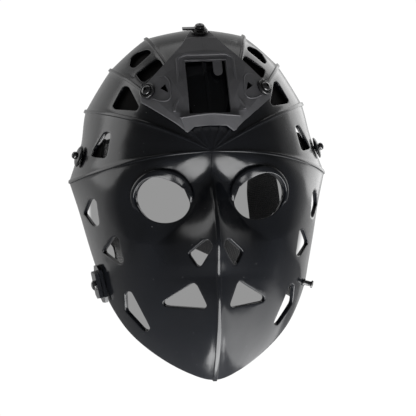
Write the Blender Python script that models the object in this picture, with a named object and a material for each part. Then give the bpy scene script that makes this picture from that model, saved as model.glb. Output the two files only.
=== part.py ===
# Moulded face and forehead mask with a three hole accessory shroud and a webbing harness.
# Metres, +Z up, the face looks along -Y, the wearer's head centre is the origin.
import math

import bmesh
import bpy
import numpy as np

# Mask shell
MASK_WIDTH = 0.180
MASK_HEIGHT = 0.2382
CROWN_SHARE = 0.3652
MASK_DEPTH = 0.103
HEAD_CENTRE_BACK = 0.095
MASK_RISE = CROWN_SHARE * MASK_HEIGHT
MASK_DROP = MASK_HEIGHT - MASK_RISE
WALL = 0.0030
RIB_HEIGHT = 0.0013
RIB_HALF_START = 0.0006
RIB_HALF_END = 0.0013
BROW_RIB_HEIGHT = 0.0007
KEEL_RIB_HEIGHT = 0.0010
NOSE_HEIGHT = 0.0145
NOSE_HALF_WIDTH = 0.020
KEEL_HEIGHT = 0.018
KEEL_SPREAD = 0.019
SOCKET_DEPTH = 0.005
TUCK_DEPTH = 0.0060
TUCK_DROP = 0.0165
TUCK_SPREAD = 0.0075
TUCK_FADE = (0.024, 0.046)
PANEL_FLATNESS = 0.6
VENT_CORNER_RADIUS = 0.0022
EYE_HALF_WIDTH = 0.0173
EYE_HALF_HEIGHT = 0.0153
EYE_SLANT = 0.0018

# Accessory shroud on the forehead
SHROUD_CLEARANCE = 0.0022
SHROUD_PLATE = 0.0045
SHROUD_TOP_HALF = 0.0063
SHROUD_TOP_Z = 0.0835
SHROUD_EAR_X = 0.0428
SHROUD_EAR_Z = 0.0345
SHROUD_EAR_TOP_Z = 0.0390
SHROUD_FOOT_X = 0.0150
SHROUD_FOOT_Z = 0.0125
WINDOW_HALF = 0.0134
WINDOW_TOP_Z = 0.0600
WINDOW_BOTTOM_Z = 0.0245
RAIL_WIDTH = 0.0058
RAIL_FLARE = 0.0046
FRAME_TOP = 0.0055
FRAME_FRONT_Y = 0.0004
FRAME_SLOPE = 0.50
BAR_PROUD = 0.0065
BAR_HEIGHT = 0.0075
POCKET_OUT = 0.0062
POCKET_UP = 0.0145
TONGUE_WIDTH = 0.0060
TONGUE_DROP = 0.0103
TONGUE_THICK = 0.0020

# Screws and their washers
SHROUD_SCREW_X = 0.0345
SHROUD_SCREW_Z = 0.0378
CROWN_SCREW_Z = 0.0762
SCREW_SHANK = 0.0019
SCREW_HOLE_GAP = 0.0004
SCREW_HEAD = 0.0034
SCREW_HEAD_HEIGHT = 0.0022
WASHER_RADIUS = 0.0055
WASHER_HEIGHT = 0.0016
SEAT_GAP = 0.0003
SCREW_TAIL = 0.0030
TAB_RADIUS = 0.0042
TAB_REACH = 0.0118
TAB_WIDTH = 0.0034
TAB_THICK = 0.0011

# Temple fasteners
TEMPLE_X_SHARE = 0.905
TEMPLE_Z = 0.0020
TEMPLE_DISC_RADIUS = 0.0074
TEMPLE_DISC_HEIGHT = 0.0030
TEMPLE_DISC_LIFT = 0.0005
TEMPLE_SCREW_HEAD = 0.0026
TEMPLE_SCREW_HEIGHT = 0.0028

# Jaw clip on the wearer's right and jaw stud on the wearer's left
CLIP_Z = -0.0865
CLIP_BACK = 0.0055
STUD_Z = -0.0935
STUD_BACK = 0.0130
STUD_FLANGE = 0.0011
CLIP_BASE_LENGTH = 0.026
CLIP_BASE_WIDTH = 0.013
CLIP_BASE_THICK = 0.0022
CLIP_LIFT = 0.0005
CLIP_PLATE_LENGTH = 0.019
CLIP_PLATE_WIDTH = 0.0105
CLIP_PLATE_THICK = 0.0028
STUD_RADIUS = 0.0026
STUD_NECK = 0.0017
STUD_LENGTH = 0.0066

# Harness of flat webbing, laid round the back of the head
WEB_WIDTH = 0.024
WEB_THICK = 0.0020
UPPER_REACH = 0.110
UPPER_BACK_Z = 0.018
LOWER_WEB_WIDTH = 0.019
LOWER_REACH = 0.106
LOWER_BACK_Z = -0.054
SIDE_WEB_SHARE = 0.320
CROWN_WEB_WIDTH = 0.0170
CROWN_WEB_THICK = 0.0016
CROWN_WEB_RISE = 0.0012
CROWN_STRAP_BEHIND = 0.0027
CROWN_WEB_GAP = 0.0006
STRAP_BEHIND = 0.0016
EDGE_RUN = 0.010
SIDE_INSIDE = 0.0013
SIDE_BEHIND_Y = 0.030

# Foam pad inside the forehead
PAD_THICK = 0.0045
PAD_SLOT = 0.0010
PAD_PAST_EDGE = 0.0070

SIDES = (("left", -1.0), ("right", 1.0))
HALF_WIDTH = MASK_WIDTH / 2.0
EAR_SEAT = SHROUD_CLEARANCE + 0.90 * SHROUD_PLATE
CROWN_SEAT = SHROUD_CLEARANCE + 0.70 * SHROUD_PLATE

# Edge of the shell from the chin to the crown, one row a meridian.
# half_width, height and depth are shares of the half width, the rise or drop, and the depth.
# curl is how far the section turns in at its edge, power how squarely it turns.
# lift is how many degrees the line bends upwards towards the nose bridge.
RIM_ROWS = (
    # name, half_width, height, depth, curl, power, lift
    ("chin", 0.000, -1.000, 0.360, 0.900, 3.00, 0.0),
    ("chin_side", 0.200, -0.965, 0.430, 0.900, 2.90, 0.0),
    ("jaw_low", 0.420, -0.885, 0.530, 0.910, 2.60, 0.5),
    ("jaw_mid", 0.615, -0.775, 0.635, 0.930, 2.35, 1.5),
    ("jaw_high", 0.755, -0.630, 0.740, 0.945, 2.40, 3.0),
    ("cheek_low", 0.822, -0.500, 0.810, 0.950, 2.45, 5.0),
    ("cheek_mid", 0.878, -0.375, 0.865, 0.950, 2.45, 7.0),
    ("cheek_high", 0.935, -0.235, 0.920, 0.950, 2.40, 9.0),
    ("brow", 1.000, -0.097, 0.965, 0.950, 1.95, 10.0),
    ("temple", 0.895, 0.135, 0.945, 0.985, 1.90, 8.0),
    ("rib_low", 0.850, 0.391, 1.000, 0.980, 1.90, 6.0),
    ("rib_mid", 0.650, 0.707, 0.895, 0.980, 1.90, 0.0),
    ("rib_high", 0.375, 0.936, 0.790, 0.980, 1.90, 0.5),
    ("crown", 0.000, 1.000, 0.760, 0.985, 1.90, 0.0),
)
ROW = {row[0]: index for index, row in enumerate(RIM_ROWS)}
BROW = ROW["brow"]
CROWN = ROW["crown"]

# Relief of the face down its centre line.
# drop is a share of the drop; nose, width and keel are shares of their named sizes.
FACE_ROWS = (
    # drop, nose, width, keel
    (0.000, 0.000, 0.125, 0.000),
    (0.080, 0.070, 0.150, 0.055),
    (0.165, 0.450, 0.300, 0.110),
    (0.265, 0.830, 0.500, 0.220),
    (0.370, 1.000, 0.750, 0.390),
    (0.460, 0.480, 0.900, 0.670),
    (0.540, 0.035, 1.000, 0.890),
    (0.630, 0.000, 1.000, 1.000),
    (0.760, 0.000, 1.000, 0.835),
    (0.860, 0.000, 1.000, 0.500),
    (0.940, 0.000, 1.000, 0.195),
    (1.000, 0.000, 1.000, 0.000),
)

# Eye socket: centre and radii as shares of the half width and the drop.
SOCKET = {"x": 0.366, "z": 0.212, "rx": 0.400, "rz": 0.185}
EYE = {"x": 0.354, "z": 0.198}

# Corners of the openings on one side, as shares of the half width and of the rise (up) or drop (down).
VENTS = {
    "forehead_low": ((0.565, 0.543), (0.660, 0.383), (0.495, 0.352)),
    "forehead_mid": ((0.325, 0.732), (0.480, 0.627), (0.445, 0.564), (0.295, 0.667)),
    "forehead_rear": ((0.368, 0.815), (0.507, 0.695), (0.502, 0.778), (0.458, 0.817)),
    "temple": ((0.713, 0.194), (0.742, 0.002), (0.832, 0.027)),
    "cheek_high": ((0.840, -0.182), (0.900, -0.245), (0.820, -0.303)),
    "cheek_low": ((0.694, -0.353), (0.774, -0.419), (0.658, -0.470)),
    "jaw": ((0.616, -0.596), (0.630, -0.684), (0.478, -0.773)),
    "mouth": ((0.165, -0.560), (0.094, -0.664), (0.374, -0.651)),
    "nose": ((0.080, -0.373), (0.044, -0.402), (0.134, -0.488), (0.196, -0.434)),
}


# Helpers

def clear_scene():
    for item in list(bpy.data.objects):
        bpy.data.objects.remove(item, do_unlink=True)


def material(name, colour, roughness, metallic=0.0):
    made = bpy.data.materials.new(name)
    made.use_nodes = True
    shader = made.node_tree.nodes["Principled BSDF"]
    shader.inputs["Base Color"].default_value = (*colour, 1.0)
    shader.inputs["Roughness"].default_value = roughness
    shader.inputs["Metallic"].default_value = metallic
    return made


def add_object(name, points, faces, look=None):
    mesh = bpy.data.meshes.new(name)
    mesh.from_pydata([tuple(map(float, point)) for point in points], [], faces)
    mesh.validate()
    body = bpy.data.objects.new(name, mesh)
    bpy.context.scene.collection.objects.link(body)
    if look is not None:
        mesh.materials.append(look)
    face_out(body)
    return body


def face_out(body):
    work = bmesh.new()
    work.from_mesh(body.data)
    bmesh.ops.recalc_face_normals(work, faces=work.faces)
    if work.calc_volume(signed=True) < 0.0:
        bmesh.ops.reverse_faces(work, faces=work.faces)
    work.to_mesh(body.data)
    work.free()


def boolean(body, other, operation):
    modifier = body.modifiers.new(operation.lower(), "BOOLEAN")
    modifier.operation = operation
    modifier.solver = "EXACT"
    modifier.object = other
    return modifier


def bake(body):
    graph = bpy.context.evaluated_depsgraph_get()
    mesh = bpy.data.meshes.new_from_object(body.evaluated_get(graph))
    body.modifiers.clear()
    old = body.data
    body.data = mesh
    bpy.data.meshes.remove(old)


def combine(body, others, operation):
    for other in others:
        boolean(body, other, operation)
    bake(body)
    for other in others:
        bpy.data.objects.remove(other, do_unlink=True)
    return body


def unit(vector):
    return vector / np.linalg.norm(vector, axis=-1, keepdims=True)


# Shell surface

def rim_columns():
    table = np.array([row[1:] for row in RIM_ROWS], float)
    height = np.where(table[:, 1] > 0.0, MASK_RISE, MASK_DROP)
    return np.stack([
        table[:, 0] * HALF_WIDTH,
        table[:, 1] * height,
        table[:, 2] * MASK_DEPTH,
        table[:, 3],
        table[:, 4],
        np.radians(table[:, 5]),
    ], axis=1)


COLUMNS = rim_columns()
MIRROR = np.array([-1.0, 1.0, 1.0, 1.0, 1.0, -1.0])
FACE_KEYS = np.vstack([COLUMNS[1] * MIRROR, COLUMNS[:BROW + 1], 2 * COLUMNS[BROW] - COLUMNS[BROW - 1]])
TOP_KEYS = np.vstack([2 * COLUMNS[BROW] - COLUMNS[BROW + 1], COLUMNS[BROW:], COLUMNS[-2] * MIRROR])


def catmull(keys, place):
    index = np.clip(np.floor(place).astype(int), 0, len(keys) - 4)
    f = (place - index)[..., None]
    a, b, c, d = keys[index], keys[index + 1], keys[index + 2], keys[index + 3]
    return b + 0.5 * f * (c - a + f * (2 * a - 5 * b + 4 * c - d + f * (3 * (b - c) + d - a)))


def rim(row):
    row = np.asarray(row, float)
    face = catmull(FACE_KEYS, np.clip(row, 0, BROW))
    top = catmull(TOP_KEYS, np.clip(row, BROW, CROWN) - BROW)
    index = np.clip(np.floor(row).astype(int), 0, CROWN - 1)
    f = (row - index)[..., None]
    straight = COLUMNS[index] * (1 - f) + COLUMNS[index + 1] * f
    top = top * (1 - PANEL_FLATNESS) + straight * PANEL_FLATNESS
    return np.where((row <= BROW)[..., None], face, top)


def section(out, curl, power):
    def turned(value):
        return 1.0 - (1.0 - np.clip(value, 0.0, 0.9999) ** power) ** (1.0 / power)
    return turned(curl * out) / turned(curl)


def through(place, at, values):
    at = np.asarray(at, float)
    values = np.asarray(values, float)
    place = np.clip(place, at[0], at[-1])
    i = np.clip(np.searchsorted(at, place) - 1, 0, len(at) - 2)
    slope = np.diff(values) / np.diff(at)
    both = slope[1:] * slope[:-1]
    tangent = np.zeros(len(at))
    tangent[1:-1] = np.where(both > 0, 2 * both / (slope[1:] + slope[:-1] + 1e-12), 0)
    tangent[0], tangent[-1] = slope[0], slope[-1]
    h = at[i + 1] - at[i]
    f = (place - at[i]) / h
    start = values[i] * (1 + 2 * f) * (1 - f) ** 2 + tangent[i] * h * f * (1 - f) ** 2
    return start + values[i + 1] * f * f * (3 - 2 * f) + tangent[i + 1] * h * f * f * (f - 1)


def eased(value):
    share = np.clip(value, 0, 1)
    return share * share * (3 - 2 * share)


def brow_tuck(side, z):
    """Hollow beside the bridge of the nose: deepens below the brow and ends at the crease that sweeps under the eye."""
    crease = through(np.clip(-z, 0, 0.075), np.array([0, 0.015, 0.030, 0.043, 0.053, 0.059, 0.075]),
                     np.array([0.0010, 0.0035, 0.0076, 0.0126, 0.0230, 0.0350, 0.0900]))
    fade = 1 - eased((side - TUCK_FADE[0]) / (TUCK_FADE[1] - TUCK_FADE[0]))
    return TUCK_DEPTH * eased(-z / TUCK_DROP) * eased((side - crease) / TUCK_SPREAD) * fade


def relief(x, z):
    rows = np.array(FACE_ROWS)
    down = np.clip(-z / MASK_DROP, 0, 1)
    nose = through(down, rows[:, 0], rows[:, 1]) * NOSE_HEIGHT
    width = through(down, rows[:, 0], rows[:, 2]) * NOSE_HALF_WIDTH
    keel = through(down, rows[:, 0], rows[:, 3]) * KEEL_HEIGHT
    side = np.abs(x)
    forward = nose * np.exp(-(side / (0.75 * width)) ** 1.7) + keel * np.exp(-(side / KEEL_SPREAD) ** 1.4)
    ex = (side - SOCKET["x"] * HALF_WIDTH) / (SOCKET["rx"] * HALF_WIDTH)
    ez = (z + SOCKET["z"] * MASK_DROP) / (SOCKET["rz"] * MASK_DROP)
    socket = SOCKET_DEPTH * np.clip(1 - ex ** 2 - ez ** 2, 0, 1) ** 1.5
    return socket + brow_tuck(side, z) - forward


def surface(row, out):
    key = rim(row)
    radius = np.hypot(key[..., 0], key[..., 1])
    angle = np.arctan2(key[..., 1], key[..., 0]) + key[..., 5] * (1 - out)
    x = out * radius * np.cos(angle)
    z = out * radius * np.sin(angle)
    y = key[..., 2] * section(out, key[..., 3], key[..., 4]) + relief(x, z) - HEAD_CENTRE_BACK
    return np.stack([x, y, z], axis=-1)


def normal(row, out):
    step = 0.02
    low = np.clip(row - step, 0, CROWN)
    high = np.clip(row + step, 0, CROWN)
    across = surface(high, out) - surface(low, out)
    inner = np.clip(out - 0.01, 0.004, 1.0)
    outer = np.clip(out + 0.01, 0.014, 1.0)
    along = surface(row, outer) - surface(row, inner)
    facing = np.cross(along, across)
    middle = (row < 1e-6) | (row > CROWN - 1e-6)
    facing[..., 0] = np.where(middle, 0.0, facing[..., 0])
    return unit(facing)


def place_on_shell(x, z):
    """Row and share out of the shell point seen at x, z from the front, for x >= 0."""
    x = np.atleast_1d(np.asarray(x, float))
    z = np.atleast_1d(np.asarray(z, float))
    low = np.zeros_like(x)
    high = np.full_like(x, float(CROWN))
    for _ in range(44):
        middle = 0.5 * (low + high)
        key = rim(middle)
        out = np.hypot(x, z) / np.hypot(key[:, 0], key[:, 1])
        angle = np.arctan2(key[:, 1], key[:, 0]) + key[:, 5] * (1 - out)
        above = angle > np.arctan2(z, x)
        high = np.where(above, middle, high)
        low = np.where(above, low, middle)
    return middle, out


def on_shell(x, z):
    side = np.where(np.asarray(x) < 0, -1.0, 1.0)
    row, out = place_on_shell(np.abs(x), z)
    point = surface(row, out) * np.stack([side, np.ones_like(side), np.ones_like(side)], -1).reshape(-1, 3)
    facing = normal(row, out) * np.stack([side, np.ones_like(side), np.ones_like(side)], -1).reshape(-1, 3)
    return point, facing


# Columns of the shell mesh: row, which side of a rib's crest (-1, 0, 1), rib height
RIBS = {ROW["chin"]: KEEL_RIB_HEIGHT, BROW: BROW_RIB_HEIGHT, ROW["rib_low"]: RIB_HEIGHT,
        ROW["rib_mid"]: RIB_HEIGHT, ROW["rib_high"]: RIB_HEIGHT, CROWN: RIB_HEIGHT}
LINES_BETWEEN_FACE_ROWS = (0.5,)
LINES_BETWEEN_TOP_ROWS = (1.0 / 3.0, 2.0 / 3.0)


def shell_columns():
    columns = []
    for row in range(CROWN + 1):
        if row in RIBS:
            if row > 0:
                columns.append((row, -1.0, 0.0))
            columns.append((row, 0.0, RIBS[row]))
            if row < CROWN:
                columns.append((row, 1.0, 0.0))
        else:
            columns.append((row, 0.0, 0.0))
        if row < CROWN:
            between = LINES_BETWEEN_FACE_ROWS if row < BROW else LINES_BETWEEN_TOP_ROWS
            columns += [(row + share, 0.0, 0.0) for share in between]
    return columns


OUTS = (0.05, 0.11, 0.18, 0.25, 0.32, 0.39, 0.46, 0.53, 0.60, 0.675, 0.75, 0.83, 0.915, 1.0)


def shell_grid(columns, outs, raised):
    """Points of one skin, columns by outs, on the side where x is positive."""
    rows = np.array([c[0] for c in columns])[:, None] * np.ones(len(outs))
    side = np.array([c[1] for c in columns])[:, None]
    tall = np.array([c[2] for c in columns])[:, None]
    outs = np.array(outs)[None, :] * np.ones_like(rows)
    before = surface(np.clip(rows - 0.5, 0, CROWN), outs)
    after = surface(np.clip(rows + 0.5, 0, CROWN), outs)
    per_row = np.linalg.norm(after - before, axis=-1)
    edge = (rows < 0.01) | (rows > CROWN - 0.01)
    per_row = np.where(edge, 2 * per_row, per_row)
    half = RIB_HALF_START + (RIB_HALF_END - RIB_HALF_START) * outs
    shift = np.minimum(half / per_row, 0.30)
    rows = rows + side * shift
    points = surface(rows, outs)
    facing = normal(rows, outs)
    if raised:
        points = points + facing * (tall * np.clip(outs / 0.25, 0.25, 1.0))[..., None]
    else:
        points = points - facing * WALL
    return points


def build_shell(look):
    columns = shell_columns()
    flip = np.array([-1.0, 1.0, 1.0])
    skins = []
    for raised in (True, False):
        half = shell_grid(columns, OUTS, raised)
        half[0, :, 0] = 0.0
        half[-1, :, 0] = 0.0
        skins.append(np.concatenate([half, half[-2:0:-1] * flip]))
    count, deep = skins[0].shape[:2]
    centre = np.array([0.0, -HEAD_CENTRE_BACK, 0.0])
    points = [centre + np.array([0, -0.3 * RIB_HEIGHT, 0]), centre + np.array([0, WALL, 0])]
    points += list(skins[0].reshape(-1, 3)) + list(skins[1].reshape(-1, 3))
    faces = []

    def at(skin, column, ring):
        return 2 + skin * count * deep + (column % count) * deep + ring

    for column in range(count):
        for skin in (0, 1):
            first, second = (column, column + 1) if skin == 0 else (column + 1, column)
            faces.append((skin, at(skin, second, 0), at(skin, first, 0)))
            for ring in range(deep - 1):
                faces.append((at(skin, first, ring), at(skin, second, ring),
                              at(skin, second, ring + 1), at(skin, first, ring + 1)))
        faces.append((at(0, column, deep - 1), at(0, column + 1, deep - 1),
                      at(1, column + 1, deep - 1), at(1, column, deep - 1)))
    shell = add_object("mask_shell", points, faces, look)
    work = bmesh.new()
    work.from_mesh(shell.data)
    bmesh.ops.triangulate(work, faces=work.faces)
    work.to_mesh(shell.data)
    work.free()
    face_out(shell)
    return shell


# Openings of the shell

def shares_to_place(corner):
    return corner[0] * HALF_WIDTH, corner[1] * (MASK_RISE if corner[1] > 0 else MASK_DROP)


def rounded(corners, radius, steps=3):
    """Outline that reaches each corner with a round nose of the given radius."""
    corners = np.array(corners, float)
    area = np.sum(corners[:, 0] * np.roll(corners[:, 1], -1) - corners[:, 1] * np.roll(corners[:, 0], -1))
    corners = corners if area > 0 else corners[::-1]
    to_last = unit(np.roll(corners, 1, axis=0) - corners)
    to_next = unit(np.roll(corners, -1, axis=0) - corners)
    centres = corners + unit(to_last + to_next) * radius
    edge = unit(np.roll(centres, -1, axis=0) - centres)
    out = np.stack([edge[:, 1], -edge[:, 0]], axis=1)
    outline = []
    for centre, first, last in zip(centres, np.roll(out, 1, axis=0), out):
        swing = math.acos(float(np.clip(first @ last, -1, 1)))
        for turn in np.linspace(0, swing, steps):
            c, s = math.cos(turn), math.sin(turn)
            outline.append(centre + radius * np.array([c * first[0] - s * first[1], s * first[0] + c * first[1]]))
    return np.array(outline)


def eye_outline(count=20):
    turn = np.linspace(0, 2 * math.pi, count, endpoint=False)
    x = EYE["x"] * HALF_WIDTH + EYE_HALF_WIDTH * np.cos(turn) + EYE_SLANT * np.sin(turn)
    z = -EYE["z"] * MASK_DROP + EYE_HALF_HEIGHT * np.sin(turn)
    return np.stack([x, z], axis=1)


def plug(outline, reach):
    """Closed prism through the shell along the mean normal of an outline seen from the front."""
    points, facing = on_shell(outline[:, 0], outline[:, 1])
    axis = unit(facing.mean(axis=0))
    count = len(points)
    front = points + axis * reach
    back = points - axis * reach
    ends = [front.mean(axis=0), back.mean(axis=0)]
    faces = []
    for i in range(count):
        j = (i + 1) % count
        faces.append((i, j, count + j))
        faces.append((i, count + j, count + i))
        faces.append((2 * count, j, i))
        faces.append((2 * count + 1, count + i, count + j))
    return add_object("plug", list(front) + list(back) + ends, faces)


def cylinder(name, start, end, radius, sides=16, look=None, end_radius=None):
    axis = unit(end - start)
    across = unit(np.cross(axis, np.array([0.0, 0.0, 1.0]) if abs(axis[2]) < 0.9 else np.array([1.0, 0.0, 0.0])))
    upward = np.cross(axis, across)
    turn = np.linspace(0, 2 * math.pi, sides, endpoint=False)[:, None]
    ring = np.cos(turn) * across + np.sin(turn) * upward
    last = radius if end_radius is None else end_radius
    points = list(start + ring * radius) + list(end + ring * last)
    faces = [tuple(range(sides)), tuple(range(2 * sides - 1, sides - 1, -1))]
    faces += [(i, (i + 1) % sides, sides + (i + 1) % sides, sides + i) for i in range(sides)]
    return add_object(name, points, faces, look)


def turned(name, base, axis, profile, sides=16, look=None):
    """Solid of revolution; profile rows are distance along the axis and radius."""
    axis = unit(axis)
    across = unit(np.cross(axis, np.array([0.0, 0.0, 1.0]) if abs(axis[2]) < 0.9 else np.array([1.0, 0.0, 0.0])))
    upward = np.cross(axis, across)
    turn = np.linspace(0, 2 * math.pi, sides, endpoint=False)[:, None]
    ring = np.cos(turn) * across + np.sin(turn) * upward
    points = []
    for along, radius in profile:
        points += list(base + axis * along + ring * radius)
    rows = len(profile)
    faces = [tuple(range(sides)), tuple(range(rows * sides - 1, (rows - 1) * sides - 1, -1))]
    for r in range(rows - 1):
        for i in range(sides):
            j = (i + 1) % sides
            faces.append((r * sides + i, r * sides + j, (r + 1) * sides + j, (r + 1) * sides + i))
    return add_object(name, points, faces, look)


def tunnel(point, axis, radius, reach):
    return cylinder("tunnel", point - axis * reach, point + axis * reach, radius, 12)


# Shroud

def forehead_sheet(ahead):
    """Closed block behind a copy of the forehead that stands ahead of it, measured square to it."""
    rows = np.linspace(BROW + 0.35, CROWN, 17)
    outs = np.linspace(0.02, 1.0, 10)
    grid_rows, grid_outs = np.meshgrid(rows, outs, indexing="ij")
    half = surface(grid_rows, grid_outs)
    facing = normal(grid_rows, grid_outs)
    lean = ahead / np.clip(-facing[..., 1], 0.30, 1.0)
    half[..., 1] -= lean
    half[-1, :, 0] = 0.0
    front = np.concatenate([half, half[-2::-1] * np.array([-1.0, 1.0, 1.0])])
    back = front.copy()
    back[..., 1] = front[..., 1] * 0 + MASK_DEPTH
    count, deep = front.shape[:2]
    points = list(front.reshape(-1, 3)) + list(back.reshape(-1, 3))
    faces = []

    def at(skin, i, j):
        return skin * count * deep + i * deep + j

    for i in range(count - 1):
        for j in range(deep - 1):
            for skin in (0, 1):
                quad = (at(skin, i, j), at(skin, i + 1, j), at(skin, i + 1, j + 1), at(skin, i, j + 1))
                quad = quad if skin == 0 else quad[::-1]
                faces += [(quad[0], quad[1], quad[2]), (quad[0], quad[2], quad[3])]
    edge = [(i, 0) for i in range(count)] + [(count - 1, j) for j in range(1, deep)]
    edge += [(i, deep - 1) for i in range(count - 2, -1, -1)] + [(0, j) for j in range(deep - 2, 0, -1)]
    for k in range(len(edge)):
        a, b = edge[k], edge[(k + 1) % len(edge)]
        faces.append((at(0, *b), at(0, *a), at(1, *a)))
        faces.append((at(0, *b), at(1, *a), at(1, *b)))
    return add_object("sheet", points, faces)


def prism(outline, front, back):
    """Outline in x, z pushed along Y between two planes; each plane is y = a + b z."""
    count = len(outline)
    points = [(x, front[0] + front[1] * z, z) for x, z in outline]
    points += [(x, back[0] + back[1] * z, z) for x, z in outline]
    faces = [tuple(range(count)), tuple(range(2 * count - 1, count - 1, -1))]
    faces += [(i, (i + 1) % count, count + (i + 1) % count, count + i) for i in range(count)]
    return add_object("prism", points, faces)


def mirrored(half):
    return list(half) + [(-x, z) for x, z in reversed(half) if abs(x) > 1e-9]


def build_shroud(look):
    top_z = SHROUD_TOP_Z
    foot_z = SHROUD_FOOT_Z
    bar_z = foot_z + 0.55 * BAR_HEIGHT
    outline = mirrored([
        (0.0, bar_z), (SHROUD_FOOT_X - 0.0045, bar_z - 0.0005), (SHROUD_FOOT_X, foot_z),
        (SHROUD_FOOT_X + 0.0065, foot_z + 0.0060), (SHROUD_EAR_X, SHROUD_EAR_Z),
        (SHROUD_EAR_X, SHROUD_EAR_TOP_Z), (SHROUD_EAR_X - 0.0030, SHROUD_EAR_TOP_Z + 0.0065),
        (SHROUD_TOP_HALF + 0.0070, top_z - 0.0110), (SHROUD_TOP_HALF, top_z - 0.0010), (SHROUD_TOP_HALF - 0.0030, top_z),
    ])
    far_front = (-2.2 * HEAD_CENTRE_BACK, 0.0)
    far_back = (0.5 * HEAD_CENTRE_BACK, 0.0)
    body = prism(outline, far_front, far_back)
    body = combine(body, [forehead_sheet(SHROUD_CLEARANCE + SHROUD_PLATE)], "INTERSECT")

    nasion = -HEAD_CENTRE_BACK
    rail_front = (nasion + FRAME_FRONT_Y - WINDOW_BOTTOM_Z * FRAME_SLOPE, FRAME_SLOPE)
    rail_x = WINDOW_HALF + RAIL_WIDTH
    frame = mirrored([
        (rail_x - 0.0045, WINDOW_TOP_Z + FRAME_TOP),
        (rail_x, WINDOW_TOP_Z + 0.4 * FRAME_TOP),
        (rail_x + 0.25 * RAIL_FLARE, WINDOW_BOTTOM_Z + 0.0100),
        (rail_x + RAIL_FLARE, WINDOW_BOTTOM_Z + 0.0050),
        (rail_x + RAIL_FLARE, WINDOW_BOTTOM_Z + 0.0010),
    ])
    rails = prism(frame, rail_front, far_back)
    bar = prism(mirrored([
        (0.0, WINDOW_BOTTOM_Z + 0.0004), (SHROUD_FOOT_X + 0.0045, WINDOW_BOTTOM_Z - 0.0022),
        (SHROUD_FOOT_X + 0.0012, foot_z + 0.0006), (SHROUD_FOOT_X - 0.0004, foot_z + 0.0004),
        (SHROUD_FOOT_X - 0.0042, bar_z - 0.0002), (0.0, bar_z + 0.0006),
    ]), (nasion - BAR_PROUD, 0.12), far_back)
    body = combine(body, [rails, bar], "UNION")

    window = prism([(WINDOW_HALF, WINDOW_BOTTOM_Z), (WINDOW_HALF, WINDOW_TOP_Z),
                    (-WINDOW_HALF, WINDOW_TOP_Z), (-WINDOW_HALF, WINDOW_BOTTOM_Z)], far_front, far_back)
    cuts = [forehead_sheet(SHROUD_CLEARANCE), window]
    for _, side in SIDES:
        low = WINDOW_HALF + RAIL_WIDTH + POCKET_OUT, WINDOW_BOTTOM_Z + POCKET_UP
        pocket = [low, (low[0] + 0.0050, low[1] + 0.0035), (low[0] + 0.0017, low[1] + 0.0061)]
        cuts.append(prism([(side * x, z) for x, z in pocket], far_front, far_back))
        point, axis = on_shell(np.array([side * SHROUD_SCREW_X]), np.array([SHROUD_SCREW_Z]))
        cuts.append(tunnel(point[0], axis[0], SCREW_SHANK + SCREW_HOLE_GAP, 0.030))
        cuts.append(cylinder("seat", point[0] + axis[0] * EAR_SEAT, point[0] + axis[0] * 0.030,
                             WASHER_RADIUS + SCREW_HOLE_GAP, 16))
    point, axis = on_shell(np.array([0.0]), np.array([CROWN_SCREW_Z]))
    cuts.append(tunnel(point[0], axis[0], SCREW_SHANK + SCREW_HOLE_GAP, 0.030))
    cuts.append(cylinder("seat", point[0] + axis[0] * CROWN_SEAT, point[0] + axis[0] * 0.030, SHROUD_TOP_HALF * 1.6, 16))
    body = combine(body, cuts, "DIFFERENCE")

    tongue_x = 0.60 * WINDOW_HALF
    half = 0.5 * TONGUE_WIDTH
    drop = WINDOW_TOP_Z - TONGUE_DROP
    arc = [(tongue_x - half * math.cos(a), drop + half - half * math.sin(a)) for a in np.linspace(0, math.pi, 7)]
    tongue = prism([(tongue_x + half, WINDOW_TOP_Z + 0.0010), (tongue_x - half, WINDOW_TOP_Z + 0.0010)] + arc,
                   (rail_front[0] + 0.0012, FRAME_SLOPE), (rail_front[0] + 0.0012 + TONGUE_THICK, FRAME_SLOPE))
    body = combine(body, [tongue], "UNION")
    body.name = "shroud"
    body.data.name = "shroud"
    body.data.materials.clear()
    body.data.materials.append(look)
    return body


# Harness

def band(name, path, up, width, thick, look):
    """Flat strip along a path; up is the direction of its width, one value or one a point."""
    path = np.array(path, float)
    up = np.broadcast_to(np.array(up, float), path.shape)
    width = np.broadcast_to(np.array(width, float), (len(path),))
    tangent = unit(np.gradient(path, axis=0))
    up = unit(up - tangent * np.sum(up * tangent, axis=1, keepdims=True))
    out = unit(np.cross(tangent, up))
    points = []
    for p, u, o, w in zip(path, up, out, width):
        points += [p + u * w / 2 + o * thick / 2, p - u * w / 2 + o * thick / 2,
                   p - u * w / 2 - o * thick / 2, p + u * w / 2 - o * thick / 2]
    faces = [(0, 1, 2), (0, 2, 3)]
    for i in range(len(path) - 1):
        for k in range(4):
            a, b = 4 * i + k, 4 * i + (k + 1) % 4
            faces += [(a, b, b + 4), (a, b + 4, a + 4)]
    last = 4 * (len(path) - 1)
    faces += [(last + 3, last + 2, last + 1), (last + 3, last + 1, last)]
    return add_object(name, points, faces, look)


def smooth_route(route, count):
    """Evenly spaced points on a smooth curve through the route; columns past the third are carried along."""
    route = np.array(route, float)
    keys = np.vstack([2 * route[0] - route[1], route, 2 * route[-1] - route[-2]])
    fine = catmull(keys, np.linspace(0, len(route) - 1, 400))
    run = np.concatenate([[0.0], np.cumsum(np.linalg.norm(np.diff(fine[:, :3], axis=0), axis=1))])
    want = np.linspace(0, run[-1], count)
    return np.stack([np.interp(want, run, fine[:, k]) for k in range(fine.shape[1])], axis=1)


# Screws, washers and studs

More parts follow.
